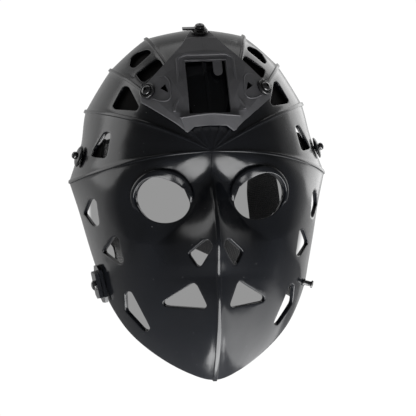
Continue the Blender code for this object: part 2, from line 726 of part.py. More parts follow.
def screw(name, point, axis, shank_out, look):
    """Button head screw whose shank runs through the shell; shank_out is where the head sits."""
    head = SCREW_HEAD_HEIGHT
    profile = [(-WALL - SCREW_TAIL, SCREW_SHANK), (shank_out, SCREW_SHANK), (shank_out, SCREW_HEAD),
               (shank_out + 0.45 * head, SCREW_HEAD), (shank_out + 0.85 * head, 0.72 * SCREW_HEAD),
               (shank_out + head, 0.45 * SCREW_HEAD)]
    return turned(name, point, axis, profile, 12, look)


def washer(name, point, axis, seat, look):
    bore = SCREW_SHANK + SCREW_HOLE_GAP
    tall = WASHER_HEIGHT
    rim_in = SCREW_HEAD + SEAT_GAP
    profile = [(seat, bore), (seat, WASHER_RADIUS - 0.0004), (seat + 0.25 * tall, WASHER_RADIUS),
               (seat + 1.25 * tall, WASHER_RADIUS), (seat + 1.5 * tall, WASHER_RADIUS - 0.0005),
               (seat + 1.4 * tall, rim_in + 0.0003), (seat + tall, rim_in), (seat + tall, bore)]
    return ring_solid(name, point, axis, profile, 14, look)


def ring_solid(name, base, axis, profile, sides, look):
    """Ring turned from a closed profile of distance along the axis and radius."""
    axis = unit(axis)
    across = unit(np.cross(axis, np.array([0.0, 0.0, 1.0]) if abs(axis[2]) < 0.9 else np.array([1.0, 0.0, 0.0])))
    upward = np.cross(axis, across)
    turn = np.linspace(0, 2 * math.pi, sides, endpoint=False)[:, None]
    ring = np.cos(turn) * across + np.sin(turn) * upward
    points = []
    for along, radius in profile:
        points += list(base + axis * along + ring * radius)
    rows = len(profile)
    faces = []
    for r in range(rows):
        for i in range(sides):
            j = (i + 1) % sides
            n = (r + 1) % rows
            faces.append((r * sides + i, r * sides + j, n * sides + j, n * sides + i))
    return add_object(name, points, faces, look)


def shell_spot(x, z):
    point, axis = on_shell(np.array([x]), np.array([z]))
    return point[0], axis[0]


def rim_spot(z, back):
    """Point and outward normal on the shell's side at height z, set back from its edge."""
    rows = np.linspace(ROW["jaw_low"], BROW, 200)
    edge = surface(rows, np.ones_like(rows))
    row = rows[np.argmin(np.abs(edge[:, 2] - z))]
    outs = np.linspace(0.6, 1.0, 200)
    line = surface(np.full_like(outs, row), outs)
    away = np.linalg.norm(line - line[-1], axis=1)
    out = outs[np.argmin(np.abs(away - back))]
    return surface(np.array([row]), np.array([out]))[0], normal(np.array([row]), np.array([out]))[0]


def inside_line(row, first, behind):
    """Points just inside the wall along one row of the shell, from a share out to its edge."""
    outs = np.linspace(first, 1.0, 5)
    rows = np.full_like(outs, row)
    return surface(rows, outs) - normal(rows, outs) * behind


def spot_frame(point, axis, side):
    """Right-handed frame at a fixing: across towards the shell's edge, along it upwards, and out."""
    up = np.array([0.0, 0.0, 1.0])
    along = unit(up - axis * (up @ axis))
    across = unit(np.cross(along, axis)) * side
    return across, along


def rim_fix(side):
    """Fixing at the jaw: the clip where side is -1, the stud where side is 1."""
    point, axis = rim_spot(*((STUD_Z, STUD_BACK) if side > 0 else (CLIP_Z, CLIP_BACK)))
    mirror = np.array([side, 1.0, 1.0])
    return point * mirror, axis * mirror


def strap_half(point, lead, back_y, back_z):
    """Route of half a strap, x positive: from inside the wall at a fixing round to the middle of the back."""
    row, out = place_on_shell(np.abs(point[:1]), point[2:])
    row, first = row[0], out[0] - lead
    behind = WALL + STRAP_BEHIND + WEB_THICK / 2
    line = inside_line(row, first, behind)
    turn = np.linspace(0, math.pi / 2, 8)[1:]
    start = line[-1] + np.array([0.0, EDGE_RUN, 0.0])
    oval = np.stack([
        start[0] * np.cos(turn) ** 0.86,
        start[1] + (back_y - start[1]) * np.sin(turn),
        start[2] + (back_z - start[2]) * (1 - np.cos(turn)),
    ], axis=1)
    oval[-1, 0] = 0.0
    outs = np.linspace(first, 1.0, 5)
    lean = unit(surface(np.full_like(outs, row + 0.35), outs) - surface(np.full_like(outs, row - 0.35), outs))
    lean = lean * np.sign(lean[:, 2:])
    upright = np.tile([0.0, 0.0, 1.0], (len(turn), 1))
    ups = np.vstack([lean, 0.6 * lean[-1] + 0.4 * upright[:1], upright])
    half = smooth_route(np.hstack([np.vstack([line, start[None], oval]), ups]), 16)
    half[-1, 0] = 0.0
    return half


def strap_round(right, left, lead, back_y, back_z):
    """Centre line and width directions of a strap from the right fixing round the back to the left one."""
    first = strap_half(right, lead, back_y, back_z)
    last = strap_half(left, lead, back_y, back_z) * np.tile([-1.0, 1.0, 1.0], 2)
    whole = np.vstack([first, last[-2::-1]])
    return whole[:, :3], whole[:, 3:]


def plate(name, origin, across, along, out, outline, low, high, look):
    """Flat plate; outline in (across, along), from low to high along out."""
    count = len(outline)
    base = [origin + across * a + along * b for a, b in outline]
    points = [p + out * low for p in base] + [p + out * high for p in base]
    faces = [tuple(range(count)), tuple(range(2 * count - 1, count - 1, -1))]
    faces += [(i, (i + 1) % count, count + (i + 1) % count, count + i) for i in range(count)]
    return add_object(name, points, faces, look)


def build_pad(look):
    """Foam pad that follows the inside of the forehead, between the low ribs over the crown."""
    rows = np.linspace(ROW["rib_low"] - 0.30, CROWN, 10)
    outs = np.array([0.40, 0.54, 0.68, 0.82, 0.945, 1.0, 1.0])
    grid_rows, grid_outs = np.meshgrid(rows, outs, indexing="ij")
    base = surface(grid_rows, grid_outs)
    facing = normal(grid_rows, grid_outs)
    base[:, -1] += unit(base[:, -1] - base[:, -3]) * PAD_PAST_EDGE
    skins = []
    for depth in (WALL + SEAT_GAP + 0.0003, WALL + SEAT_GAP + 0.0003 + PAD_THICK):
        half = base - facing * depth
        half[-1, :, 0] = 0.0
        skins.append(np.concatenate([half, half[-2::-1] * np.array([-1.0, 1.0, 1.0])]))
    count, deep = skins[0].shape[:2]
    points = list(skins[0].reshape(-1, 3)) + list(skins[1].reshape(-1, 3))

    def at(skin, i, j):
        return skin * count * deep + i * deep + j

    faces = []
    for i in range(count - 1):
        for j in range(deep - 1):
            for skin in (0, 1):
                quad = (at(skin, i, j), at(skin, i + 1, j), at(skin, i + 1, j + 1), at(skin, i, j + 1))
                quad = quad if skin == 0 else quad[::-1]
                faces += [(quad[0], quad[1], quad[2]), (quad[0], quad[2], quad[3])]
    edge = [(i, 0) for i in range(count)] + [(count - 1, j) for j in range(1, deep)]
    edge += [(i, deep - 1) for i in range(count - 2, -1, -1)] + [(0, j) for j in range(deep - 2, 0, -1)]
    for k in range(len(edge)):
        a, b = edge[k], edge[(k + 1) % len(edge)]
        faces.append((at(0, *b), at(0, *a), at(1, *a)))
        faces.append((at(0, *b), at(1, *a), at(1, *b)))
    return add_object("forehead_pad", points, faces, look)


def build_hardware(plastic, steel):
    for label, side in SIDES:
        point, axis = shell_spot(side * SHROUD_SCREW_X, SHROUD_SCREW_Z)
        seat = EAR_SEAT + SEAT_GAP
        washer("shroud_washer_" + label, point, axis, seat, steel)
        screw("shroud_screw_" + label, point, axis, seat + WASHER_HEIGHT + SEAT_GAP, steel)

        point, axis = shell_spot(side * TEMPLE_X_SHARE * HALF_WIDTH, TEMPLE_Z)
        bore = SCREW_SHANK + SCREW_HOLE_GAP
        radius, tall = TEMPLE_DISC_RADIUS, TEMPLE_DISC_HEIGHT
        low = TEMPLE_DISC_LIFT
        ring_solid("temple_disc_" + label, point, axis, [
            (low, bore), (low, 0.55 * radius), (low + 0.25 * tall, radius), (low + 0.50 * tall, radius),
            (low + 0.80 * tall, 0.82 * radius), (low + tall, 0.50 * radius), (low + tall, bore)], 16, plastic)
        head = low + tall + SEAT_GAP
        turned("temple_screw_" + label, point, axis, [
            (-WALL - SCREW_TAIL, SCREW_SHANK), (head, SCREW_SHANK), (head, TEMPLE_SCREW_HEAD),
            (head + 0.7 * TEMPLE_SCREW_HEIGHT, TEMPLE_SCREW_HEAD),
            (head + TEMPLE_SCREW_HEIGHT, 0.7 * TEMPLE_SCREW_HEAD)], 14, steel)

    point, axis = shell_spot(0.0, CROWN_SCREW_Z)
    seat = CROWN_SEAT + SEAT_GAP
    washer("crown_washer", point, axis, seat, steel)
    seat += 1.5 * WASHER_HEIGHT + SEAT_GAP
    bore = SCREW_SHANK + SCREW_HOLE_GAP
    eye = ring_solid("crown_tab", point, axis, [
        (seat, bore), (seat, TAB_RADIUS), (seat + TAB_THICK, TAB_RADIUS), (seat + TAB_THICK, bore)], 14, steel)
    tongue = plate("tongue", point, np.array([-1.0, 0.0, 0.0]), np.cross(axis, (-1.0, 0.0, 0.0)), axis, [
        (0.5 * (bore + TAB_RADIUS), -TAB_WIDTH / 2), (TAB_REACH, -TAB_WIDTH / 2),
        (TAB_REACH, TAB_WIDTH / 2), (0.5 * (bore + TAB_RADIUS), TAB_WIDTH / 2)], seat, seat + TAB_THICK, steel)
    combine(eye, [tongue], "UNION")
    screw("crown_screw", point, axis, seat + TAB_THICK + SEAT_GAP, steel)

    point, axis = rim_fix(-1.0)
    across, along = spot_frame(point, axis, -1.0)
    length, width = CLIP_BASE_LENGTH / 2, CLIP_BASE_WIDTH / 2
    low = CLIP_LIFT
    base = plate("jaw_clip_base", point, across, along, axis, [
        (-width, -0.70 * length), (-0.55 * width, -length), (0.45 * width, -length), (width, -0.75 * length),
        (width, 0.70 * length), (0.55 * width, length), (-0.45 * width, length), (-width, 0.75 * length)],
        low, low + CLIP_BASE_THICK, plastic)
    low += CLIP_BASE_THICK + SEAT_GAP
    length, width = CLIP_PLATE_LENGTH / 2, CLIP_PLATE_WIDTH / 2
    cover = plate("jaw_clip_plate", point, across, along, axis, [
        (-0.80 * width, -0.95 * length), (0.55 * width, -length), (width, -0.70 * length),
        (0.80 * width, 0.85 * length), (0.45 * width, length), (-width, 0.80 * length)],
        low, low + CLIP_PLATE_THICK, plastic)
    for piece in (base, cover):
        combine(piece, [tunnel(point, axis, SCREW_SHANK + SCREW_HOLE_GAP, 0.020)], "DIFFERENCE")
    screw("jaw_clip_screw", point, axis, low + CLIP_PLATE_THICK + SEAT_GAP, steel)

    point, axis = rim_fix(1.0)
    low = SEAT_GAP
    turned("jaw_stud", point, axis, [
        (-WALL - SCREW_TAIL, SCREW_SHANK), (low, SCREW_SHANK), (low, STUD_RADIUS), (low + STUD_FLANGE, STUD_RADIUS),
        (low + STUD_FLANGE, STUD_NECK), (low + STUD_LENGTH - STUD_FLANGE, STUD_NECK),
        (low + STUD_LENGTH - STUD_FLANGE, STUD_RADIUS), (low + STUD_LENGTH, STUD_RADIUS)], 14, steel)


def build_harness(web, steel):
    point, _ = shell_spot(TEMPLE_X_SHARE * HALF_WIDTH, TEMPLE_Z)
    upper, ups = strap_round(point, point, 0.10, UPPER_REACH, UPPER_BACK_Z)
    upper_strap = band("upper_strap", upper, ups, WEB_WIDTH, WEB_THICK, web)

    lower, ups = strap_round(rim_fix(1.0)[0], rim_fix(-1.0)[0], 0.09, LOWER_REACH, LOWER_BACK_Z)
    lower_strap = band("lower_strap", lower, ups, LOWER_WEB_WIDTH, WEB_THICK, web)

    for _, side in SIDES:
        temple = shell_spot(side * TEMPLE_X_SHARE * HALF_WIDTH, TEMPLE_Z)
        combine(upper_strap, [tunnel(*temple, SCREW_SHANK + SCREW_HOLE_GAP, 0.020)], "DIFFERENCE")
        combine(lower_strap, [tunnel(*rim_fix(side), SCREW_SHANK + SCREW_HOLE_GAP, 0.020)], "DIFFERENCE")

    for label, side in SIDES:
        ends = []
        for line, width in ((upper, WEB_WIDTH), (lower, -LOWER_WEB_WIDTH)):
            heading = unit(np.gradient(line, axis=0) * np.array([1.0, 1.0, 0.0]))
            both = np.hstack([line, heading])[(line[:, 1] > SIDE_BEHIND_Y) & (line[:, 0] * side > 0)]
            both = both[np.argsort(both[:, 0] * side)]
            at = np.array([np.interp(SIDE_WEB_SHARE * MASK_WIDTH, both[:, 0] * side, both[:, k]) for k in range(6)])
            run = unit(at[3:])
            inward = np.array([run[1], -run[0], 0.0])
            inward = inward if inward[1] < 0 else -inward
            at = at[:3] + inward * (WEB_THICK + SIDE_INSIDE)
            ends.append((at + np.array([0, 0, 0.36 * width]), at - np.array([0, 0, 0.62 * width]), run))
        top, under_top, heading = ends[0]
        bottom, over_bottom, heading_low = ends[1]
        path = [top, under_top] + [under_top * (1 - f) + over_bottom * f for f in (0.12, 0.5, 0.88)] + [over_bottom, bottom]
        square = np.array([np.sign(heading[0]), 0.0, 0.0])
        turns = [heading, heading, 0.7 * heading + 0.3 * square, square, 0.7 * heading_low + 0.3 * square, heading_low, heading_low]
        band("side_strap_" + label, path, turns, WEB_WIDTH, WEB_THICK, web)

    behind = WALL + CROWN_STRAP_BEHIND + CROWN_WEB_THICK / 2
    _, out = place_on_shell(0.0, CROWN_SCREW_Z)
    outs = np.linspace(out[0] - 0.07, 1.0, 6)
    rows = np.full_like(outs, float(CROWN))
    line = surface(rows, outs) - normal(rows, outs) * behind
    edge = line[-1]
    back = upper[len(upper) // 2]
    strap = smooth_route(list(line) + [
        (0, edge[1] + 0.018, edge[2] + CROWN_WEB_RISE), (0, 0.42 * UPPER_REACH, edge[2] + CROWN_WEB_RISE),
        (0, 0.75 * UPPER_REACH, 0.80 * edge[2]), (0, 0.955 * UPPER_REACH, 0.47 * edge[2]),
        (0, back[1], back[2] + WEB_WIDTH / 2 + CROWN_WEB_GAP)], 17)
    crown = band("crown_strap", strap, (1, 0, 0), CROWN_WEB_WIDTH, CROWN_WEB_THICK, web)
    combine(crown, [tunnel(*shell_spot(0.0, CROWN_SCREW_Z), SCREW_SHANK + SCREW_HOLE_GAP, 0.020)], "DIFFERENCE")


def main():
    clear_scene()
    shell_look = material("shell_plastic", (0.012, 0.013, 0.015), 0.22)
    shroud_look = material("shroud_plastic", (0.058, 0.058, 0.063), 0.62)
    screw_look = material("black_steel", (0.03, 0.03, 0.032), 0.25, 0.8)
    web_look = material("webbing", (0.010, 0.010, 0.011), 0.85)
    pad_look = material("pad_foam", (0.008, 0.008, 0.008), 0.95)

    shell = build_shell(shell_look)
    cutters = []
    for _, side in SIDES:
        for corners in VENTS.values():
            outline = rounded([shares_to_place(c) for c in corners], VENT_CORNER_RADIUS)
            cutters.append(plug(outline * np.array([side, 1.0]), 0.011))
        cutters.append(plug(eye_outline() * np.array([side, 1.0]), 0.014))
        cutters.append(tunnel(*shell_spot(side * SHROUD_SCREW_X, SHROUD_SCREW_Z), SCREW_SHANK + SCREW_HOLE_GAP, 0.010))
        temple = shell_spot(side * TEMPLE_X_SHARE * HALF_WIDTH, TEMPLE_Z)
        cutters.append(tunnel(*temple, SCREW_SHANK + SCREW_HOLE_GAP, 0.008))
        cutters.append(tunnel(*rim_fix(side), SCREW_SHANK + SCREW_HOLE_GAP, 0.008))
    cutters.append(tunnel(*shell_spot(0.0, CROWN_SCREW_Z), SCREW_SHANK + SCREW_HOLE_GAP, 0.010))
    combine(shell, cutters, "DIFFERENCE")

    build_shroud(shroud_look)
    build_hardware(shell_look, screw_look)
    build_harness(web_look, screw_look)
    pad = build_pad(pad_look)
    tails = []
    for _, side in SIDES:
        tails.append(tunnel(*shell_spot(side * SHROUD_SCREW_X, SHROUD_SCREW_Z), SCREW_SHANK + 0.0008, 0.016))
    tails.append(tunnel(*shell_spot(0.0, CROWN_SCREW_Z), SCREW_SHANK + 0.0008, 0.016))
    slot = CROWN_WEB_WIDTH / 2 + PAD_SLOT
    crown = shell_spot(0.0, CROWN_SCREW_Z)[0]
    tails.append(plate("slot", np.zeros(3), np.array([1.0, 0, 0]), np.array([0, 1.0, 0]), np.array([0, 0, 1.0]), [
        (-slot, crown[1] - 0.010), (slot, crown[1] - 0.010), (slot, 0.0), (-slot, 0.0)],
        0.4 * MASK_RISE, 1.2 * MASK_RISE, None))
    combine(pad, tails, "DIFFERENCE")


main()
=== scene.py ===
# Moulded face and forehead mask with an accessory shroud and a webbing harness, dressed for its portrait.
# Metres, +Z up, the face looks along -Y, the wearer's head centre is the origin.
import math

import bmesh
import bpy
import numpy as np
from mathutils import Matrix


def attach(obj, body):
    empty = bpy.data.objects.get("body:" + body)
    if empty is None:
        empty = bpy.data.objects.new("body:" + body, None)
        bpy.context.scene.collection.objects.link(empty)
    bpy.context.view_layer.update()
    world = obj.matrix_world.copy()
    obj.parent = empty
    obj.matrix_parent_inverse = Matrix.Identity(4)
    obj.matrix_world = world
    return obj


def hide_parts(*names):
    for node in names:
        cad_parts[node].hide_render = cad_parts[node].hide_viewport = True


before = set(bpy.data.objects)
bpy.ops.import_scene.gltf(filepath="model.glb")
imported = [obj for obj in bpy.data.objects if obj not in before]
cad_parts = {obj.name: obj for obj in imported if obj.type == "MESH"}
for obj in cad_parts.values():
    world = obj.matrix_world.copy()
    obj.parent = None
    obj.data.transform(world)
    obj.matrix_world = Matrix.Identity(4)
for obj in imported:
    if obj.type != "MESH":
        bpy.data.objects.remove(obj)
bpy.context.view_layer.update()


# Mask shell
MASK_WIDTH = 0.180
MASK_HEIGHT = 0.2382
CROWN_SHARE = 0.3652
MASK_DEPTH = 0.103
HEAD_CENTRE_BACK = 0.095
MASK_RISE = CROWN_SHARE * MASK_HEIGHT
MASK_DROP = MASK_HEIGHT - MASK_RISE
WALL = 0.0030
RIB_HEIGHT = 0.0013
RIB_HALF_START = 0.0006
RIB_HALF_END = 0.0013
BROW_RIB_HEIGHT = 0.0007
KEEL_RIB_HEIGHT = 0.0010
NOSE_HEIGHT = 0.0145
NOSE_HALF_WIDTH = 0.020
KEEL_HEIGHT = 0.018
KEEL_SPREAD = 0.019
SOCKET_DEPTH = 0.005
TUCK_DEPTH = 0.0080
TUCK_DROP = 0.0200
TUCK_RISE = 0.036
NOSE_START = 0.0115
TUCK_FADE = (0.024, 0.046)
PANEL_FLATNESS = 0.6
VENT_CORNER_RADIUS = 0.0022
EYE_HALF_WIDTH = 0.0173
EYE_HALF_HEIGHT = 0.0153
EYE_SLANT = 0.0018

# Accessory shroud on the forehead
SHROUD_CLEARANCE = 0.0022
SHROUD_PLATE = 0.0045
SHROUD_FOOT_X = 0.0150
WINDOW_HALF = 0.0134
WINDOW_TOP_Z = 0.0600
WINDOW_BOTTOM_Z = 0.0245
RAIL_WIDTH = 0.0058
RAIL_FLARE = 0.0046
FRAME_TOP = 0.0055
FRAME_FRONT_Y = 0.0004
FRAME_SLOPE = 0.50
BAR_PROUD = 0.0065

# Screws and their washers
SHROUD_SCREW_X = 0.0345
SHROUD_SCREW_Z = 0.0378
CROWN_SCREW_Z = 0.0762
SCREW_SHANK = 0.0019
SCREW_HOLE_GAP = 0.0004
SCREW_HEAD = 0.0034
SCREW_HEAD_HEIGHT = 0.0022
WASHER_RADIUS = 0.0055
WASHER_HEIGHT = 0.0016
SEAT_GAP = 0.0003
SCREW_TAIL = 0.0030
TAB_THICK = 0.0011

# Temple fasteners
TEMPLE_X_SHARE = 0.905
TEMPLE_Z = 0.0020
TEMPLE_DISC_RADIUS = 0.0074
TEMPLE_DISC_HEIGHT = 0.0030
TEMPLE_DISC_LIFT = 0.0005
TEMPLE_SCREW_HEAD = 0.0026
TEMPLE_SCREW_HEIGHT = 0.0028

# Jaw clip on the wearer's right and jaw stud on the wearer's left
CLIP_Z = -0.0865
CLIP_BACK = 0.0055
STUD_Z = -0.0935
STUD_BACK = 0.0130
STUD_FLANGE = 0.0011
STUD_RADIUS = 0.0026
STUD_NECK = 0.0017
STUD_LENGTH = 0.0066

# Harness of flat webbing, laid round the back of the head
WEB_WIDTH = 0.024
WEB_THICK = 0.0020
UPPER_REACH = 0.110
UPPER_BACK_Z = 0.018
LOWER_WEB_WIDTH = 0.019
LOWER_REACH = 0.106
LOWER_BACK_Z = -0.054
SIDE_WEB_SHARE = 0.320
CROWN_WEB_WIDTH = 0.0170
CROWN_WEB_THICK = 0.0016
CROWN_WEB_RISE = 0.0012
CROWN_STRAP_BEHIND = 0.0027
CROWN_WEB_GAP = 0.0006
STRAP_BEHIND = 0.0016
EDGE_RUN = 0.010
SIDE_INSIDE = 0.0013
SIDE_BEHIND_Y = 0.030

# Foam pad inside the forehead
PAD_THICK = 0.0045
PAD_SLOT = 0.0010
PAD_PAST_EDGE = 0.0070

SIDES = (("left", -1.0), ("right", 1.0))
HALF_WIDTH = MASK_WIDTH / 2.0
EAR_SEAT = SHROUD_CLEARANCE + 0.90 * SHROUD_PLATE
CROWN_SEAT = SHROUD_CLEARANCE + 0.70 * SHROUD_PLATE

# Edge of the shell from the chin to the crown, one row a meridian.
# half_width, height and depth are shares of the half width, the rise or drop, and the depth.
# curl is how far the section turns in at its edge, power how squarely it turns.
# lift is how many degrees the line bends upwards towards the nose bridge.
RIM_ROWS = (
    # name, half_width, height, depth, curl, power, lift
    ("chin", 0.000, -1.000, 0.360, 0.900, 3.00, 0.0),
    ("chin_side", 0.200, -0.965, 0.430, 0.900, 2.90, 0.0),
    ("jaw_low", 0.420, -0.885, 0.530, 0.910, 2.60, 0.5),
    ("jaw_mid", 0.615, -0.775, 0.635, 0.930, 2.35, 1.5),
    ("jaw_high", 0.755, -0.630, 0.740, 0.945, 2.40, 3.0),
    ("cheek_low", 0.822, -0.500, 0.810, 0.950, 2.45, 5.0),
    ("cheek_mid", 0.878, -0.375, 0.865, 0.950, 2.45, 7.0),
    ("cheek_high", 0.935, -0.235, 0.920, 0.950, 2.40, 9.0),
    ("brow", 1.000, -0.097, 0.965, 0.950, 1.95, 10.0),
    ("temple", 0.895, 0.135, 0.945, 0.985, 1.90, 8.0),
    ("rib_low", 0.850, 0.391, 1.000, 0.980, 1.90, 6.0),
    ("rib_mid", 0.650, 0.707, 0.895, 0.980, 1.90, 0.0),
    ("rib_high", 0.375, 0.936, 0.790, 0.980, 1.90, 0.5),
    ("crown", 0.000, 1.000, 0.760, 0.985, 1.90, 0.0),
)
ROW = {row[0]: index for index, row in enumerate(RIM_ROWS)}
BROW = ROW["brow"]
CROWN = ROW["crown"]

# Relief of the face down its centre line.
# drop is a share of the drop; nose, width and keel are shares of their named sizes.
FACE_ROWS = (
    # drop, nose, width, keel
    (0.000, 0.000, 0.125, 0.000),
    (0.080, 0.070, 0.150, 0.055),
    (0.165, 0.450, 0.300, 0.110),
    (0.265, 0.830, 0.500, 0.220),
    (0.370, 1.000, 0.750, 0.390),
    (0.460, 0.480, 0.900, 0.670),
    (0.540, 0.035, 1.000, 0.890),
    (0.630, 0.000, 1.000, 1.000),
    (0.760, 0.000, 1.000, 0.835),
    (0.860, 0.000, 1.000, 0.500),
    (0.940, 0.000, 1.000, 0.195),
    (1.000, 0.000, 1.000, 0.000),
)

# Eye socket: centre and radii as shares of the half width and the drop.
SOCKET = {"x": 0.366, "z": 0.212, "rx": 0.400, "rz": 0.185}
EYE = {"x": 0.354, "z": 0.198}

# Corners of the openings on one side, as shares of the half width and of the rise (up) or drop (down).
VENTS = {
    "forehead_low": ((0.565, 0.543), (0.660, 0.383), (0.495, 0.352)),
    "forehead_mid": ((0.325, 0.732), (0.480, 0.627), (0.445, 0.564), (0.295, 0.667)),
    "forehead_rear": ((0.368, 0.815), (0.507, 0.695), (0.502, 0.778), (0.458, 0.817)),
    "temple": ((0.713, 0.194), (0.742, 0.002), (0.832, 0.027)),
    "cheek_high": ((0.840, -0.182), (0.900, -0.245), (0.820, -0.303)),
    "cheek_low": ((0.694, -0.353), (0.774, -0.419), (0.658, -0.470)),
    "jaw": ((0.616, -0.596), (0.630, -0.684), (0.478, -0.773)),
    "mouth": ((0.165, -0.560), (0.094, -0.664), (0.374, -0.651)),
    "nose": ((0.080, -0.373), (0.044, -0.402), (0.134, -0.488), (0.196, -0.434)),
}


# Shapes shared with the solids

def unit(vector):
    """Vectors scaled to length one."""
    return vector / np.linalg.norm(vector, axis=-1, keepdims=True)


def rim_columns():
    """Edge table in metres and radians: each share times the size that it belongs to."""
    table = np.array([row[1:] for row in RIM_ROWS], float)
    height = np.where(table[:, 1] > 0.0, MASK_RISE, MASK_DROP)
    return np.stack([
        table[:, 0] * HALF_WIDTH,
        table[:, 1] * height,
        table[:, 2] * MASK_DEPTH,
        table[:, 3],
        table[:, 4],
        np.radians(table[:, 5]),
    ], axis=1)


COLUMNS = rim_columns()
MIRROR = np.array([-1.0, 1.0, 1.0, 1.0, 1.0, -1.0])
FACE_KEYS = np.vstack([COLUMNS[1] * MIRROR, COLUMNS[:BROW + 1], 2 * COLUMNS[BROW] - COLUMNS[BROW - 1]])
TOP_KEYS = np.vstack([2 * COLUMNS[BROW] - COLUMNS[BROW + 1], COLUMNS[BROW:], COLUMNS[-2] * MIRROR])


def catmull(keys, place):
    """Catmull-Rom curve: a cubic in the share between two keys, through all the keys."""
    index = np.clip(np.floor(place).astype(int), 0, len(keys) - 4)
    f = (place - index)[..., None]
    a, b, c, d = keys[index], keys[index + 1], keys[index + 2], keys[index + 3]
    return b + 0.5 * f * (c - a + f * (2 * a - 5 * b + 4 * c - d + f * (3 * (b - c) + d - a)))


def rim(row):
    """Edge values at a row: the cubic curve, mixed with straight panels above the brow."""
    row = np.asarray(row, float)
    face = catmull(FACE_KEYS, np.clip(row, 0, BROW))
    top = catmull(TOP_KEYS, np.clip(row, BROW, CROWN) - BROW)
    index = np.clip(np.floor(row).astype(int), 0, CROWN - 1)
    f = (row - index)[..., None]
    straight = COLUMNS[index] * (1 - f) + COLUMNS[index + 1] * f
    top = top * (1 - PANEL_FLATNESS) + straight * PANEL_FLATNESS
    return np.where((row <= BROW)[..., None], face, top)


def section(out, curl, power):
    """Depth share 1 - (1 - t^power)^(1/power) at t = curl * out, over the same at t = curl."""
    def turned(value):
        """How deep the section has turned in at a value from 0 to 1."""
        return 1.0 - (1.0 - np.clip(value, 0.0, 0.9999) ** power) ** (1.0 / power)
    return turned(curl * out) / turned(curl)


def through(place, at, values):
    """Monotone cubic through the values; a slope is the harmonic mean of its two neighbours."""
    at = np.asarray(at, float)
    values = np.asarray(values, float)
    place = np.clip(place, at[0], at[-1])
    i = np.clip(np.searchsorted(at, place) - 1, 0, len(at) - 2)
    slope = np.diff(values) / np.diff(at)
    both = slope[1:] * slope[:-1]
    tangent = np.zeros(len(at))
    tangent[1:-1] = np.where(both > 0, 2 * both / (slope[1:] + slope[:-1] + 1e-12), 0)
    tangent[0], tangent[-1] = slope[0], slope[-1]
    h = at[i + 1] - at[i]
    f = (place - at[i]) / h
    start = values[i] * (1 + 2 * f) * (1 - f) ** 2 + tangent[i] * h * f * (1 - f) ** 2
    return start + values[i + 1] * f * f * (3 - 2 * f) + tangent[i + 1] * h * f * f * (f - 1)


def eased(value):
    """Smooth step 3 t^2 - 2 t^3 from 0 to 1."""
    share = np.clip(value, 0, 1)
    return share * share * (3 - 2 * share)


def brow_tuck(side, z):
    """Hollow under the brow: recedes below it, then a nose with flat flanks rises out of it as far as a
    crease."""
    down = np.clip(-z, 0, 0.085)
    crease = through(down, np.array([0, 0.0125, 0.0187, 0.0355, 0.046, 0.057, 0.066, 0.085]),
                     np.array([0.0003, 0.0006, 0.0058, 0.0130, 0.0213, 0.0350, 0.0560, 0.1200]))
    drop = np.clip(down / TUCK_DROP, 0, 1)
    hollow = TUCK_DEPTH * (0.7 * drop + 0.3 * eased(drop))
    ridge = hollow * (1 - eased((down - NOSE_START) / TUCK_RISE))
    depth = ridge + (hollow - ridge) * np.clip(side / crease, 0, 1)
    return depth * (1 - eased((side - TUCK_FADE[0]) / (TUCK_FADE[1] - TUCK_FADE[0])))


def relief(x, z):
    """Depth of the socket and the brow hollow, less nose and keel, which fall as
    exp(-(side/width)^power)."""
    rows = np.array(FACE_ROWS)
    down = np.clip(-z / MASK_DROP, 0, 1)
    nose = through(down, rows[:, 0], rows[:, 1]) * NOSE_HEIGHT
    width = through(down, rows[:, 0], rows[:, 2]) * NOSE_HALF_WIDTH
    keel = through(down, rows[:, 0], rows[:, 3]) * KEEL_HEIGHT
    side = np.abs(x)
    forward = nose * np.exp(-(side / width) ** 1.5) + keel * np.exp(-(side / KEEL_SPREAD) ** 1.4)
    ex = (side - SOCKET["x"] * HALF_WIDTH) / (SOCKET["rx"] * HALF_WIDTH)
    ez = (z + SOCKET["z"] * MASK_DROP) / (SOCKET["rz"] * MASK_DROP)
    socket = SOCKET_DEPTH * np.clip(1 - ex ** 2 - ez ** 2, 0, 1) ** 1.5
    return socket + brow_tuck(side, z) - forward


def surface(row, out):
    """Outer face: the rim point times the share out, turned by its lift, at the depth of section plus
    relief."""
    key = rim(row)
    radius = np.hypot(key[..., 0], key[..., 1])
    angle = np.arctan2(key[..., 1], key[..., 0]) + key[..., 5] * (1 - out)
    x = out * radius * np.cos(angle)
    z = out * radius * np.sin(angle)
    y = key[..., 2] * section(out, key[..., 3], key[..., 4]) + relief(x, z) - HEAD_CENTRE_BACK
    return np.stack([x, y, z], axis=-1)


def normal(row, out):
    """Outward unit normal: cross product of the differences along and across, x zero on the centre line."""
    step = 0.02
    low = np.clip(row - step, 0, CROWN)
    high = np.clip(row + step, 0, CROWN)
    across = surface(high, out) - surface(low, out)
    inner = np.clip(out - 0.01, 0.004, 1.0)
    outer = np.clip(out + 0.01, 0.014, 1.0)
    along = surface(row, outer) - surface(row, inner)
    facing = np.cross(along, across)
    middle = (row < 1e-6) | (row > CROWN - 1e-6)
    facing[..., 0] = np.where(middle, 0.0, facing[..., 0])
    return unit(facing)


def place_on_shell(x, z):
    """Row and share out of the shell point seen at x, z from the front, for x >= 0."""
    x = np.atleast_1d(np.asarray(x, float))
    z = np.atleast_1d(np.asarray(z, float))
    low = np.zeros_like(x)
    high = np.full_like(x, float(CROWN))
    for _ in range(44):
        middle = 0.5 * (low + high)
        key = rim(middle)
        out = np.hypot(x, z) / np.hypot(key[:, 0], key[:, 1])
        angle = np.arctan2(key[:, 1], key[:, 0]) + key[:, 5] * (1 - out)
        above = angle > np.arctan2(z, x)
        high = np.where(above, middle, high)
        low = np.where(above, low, middle)
    return middle, out


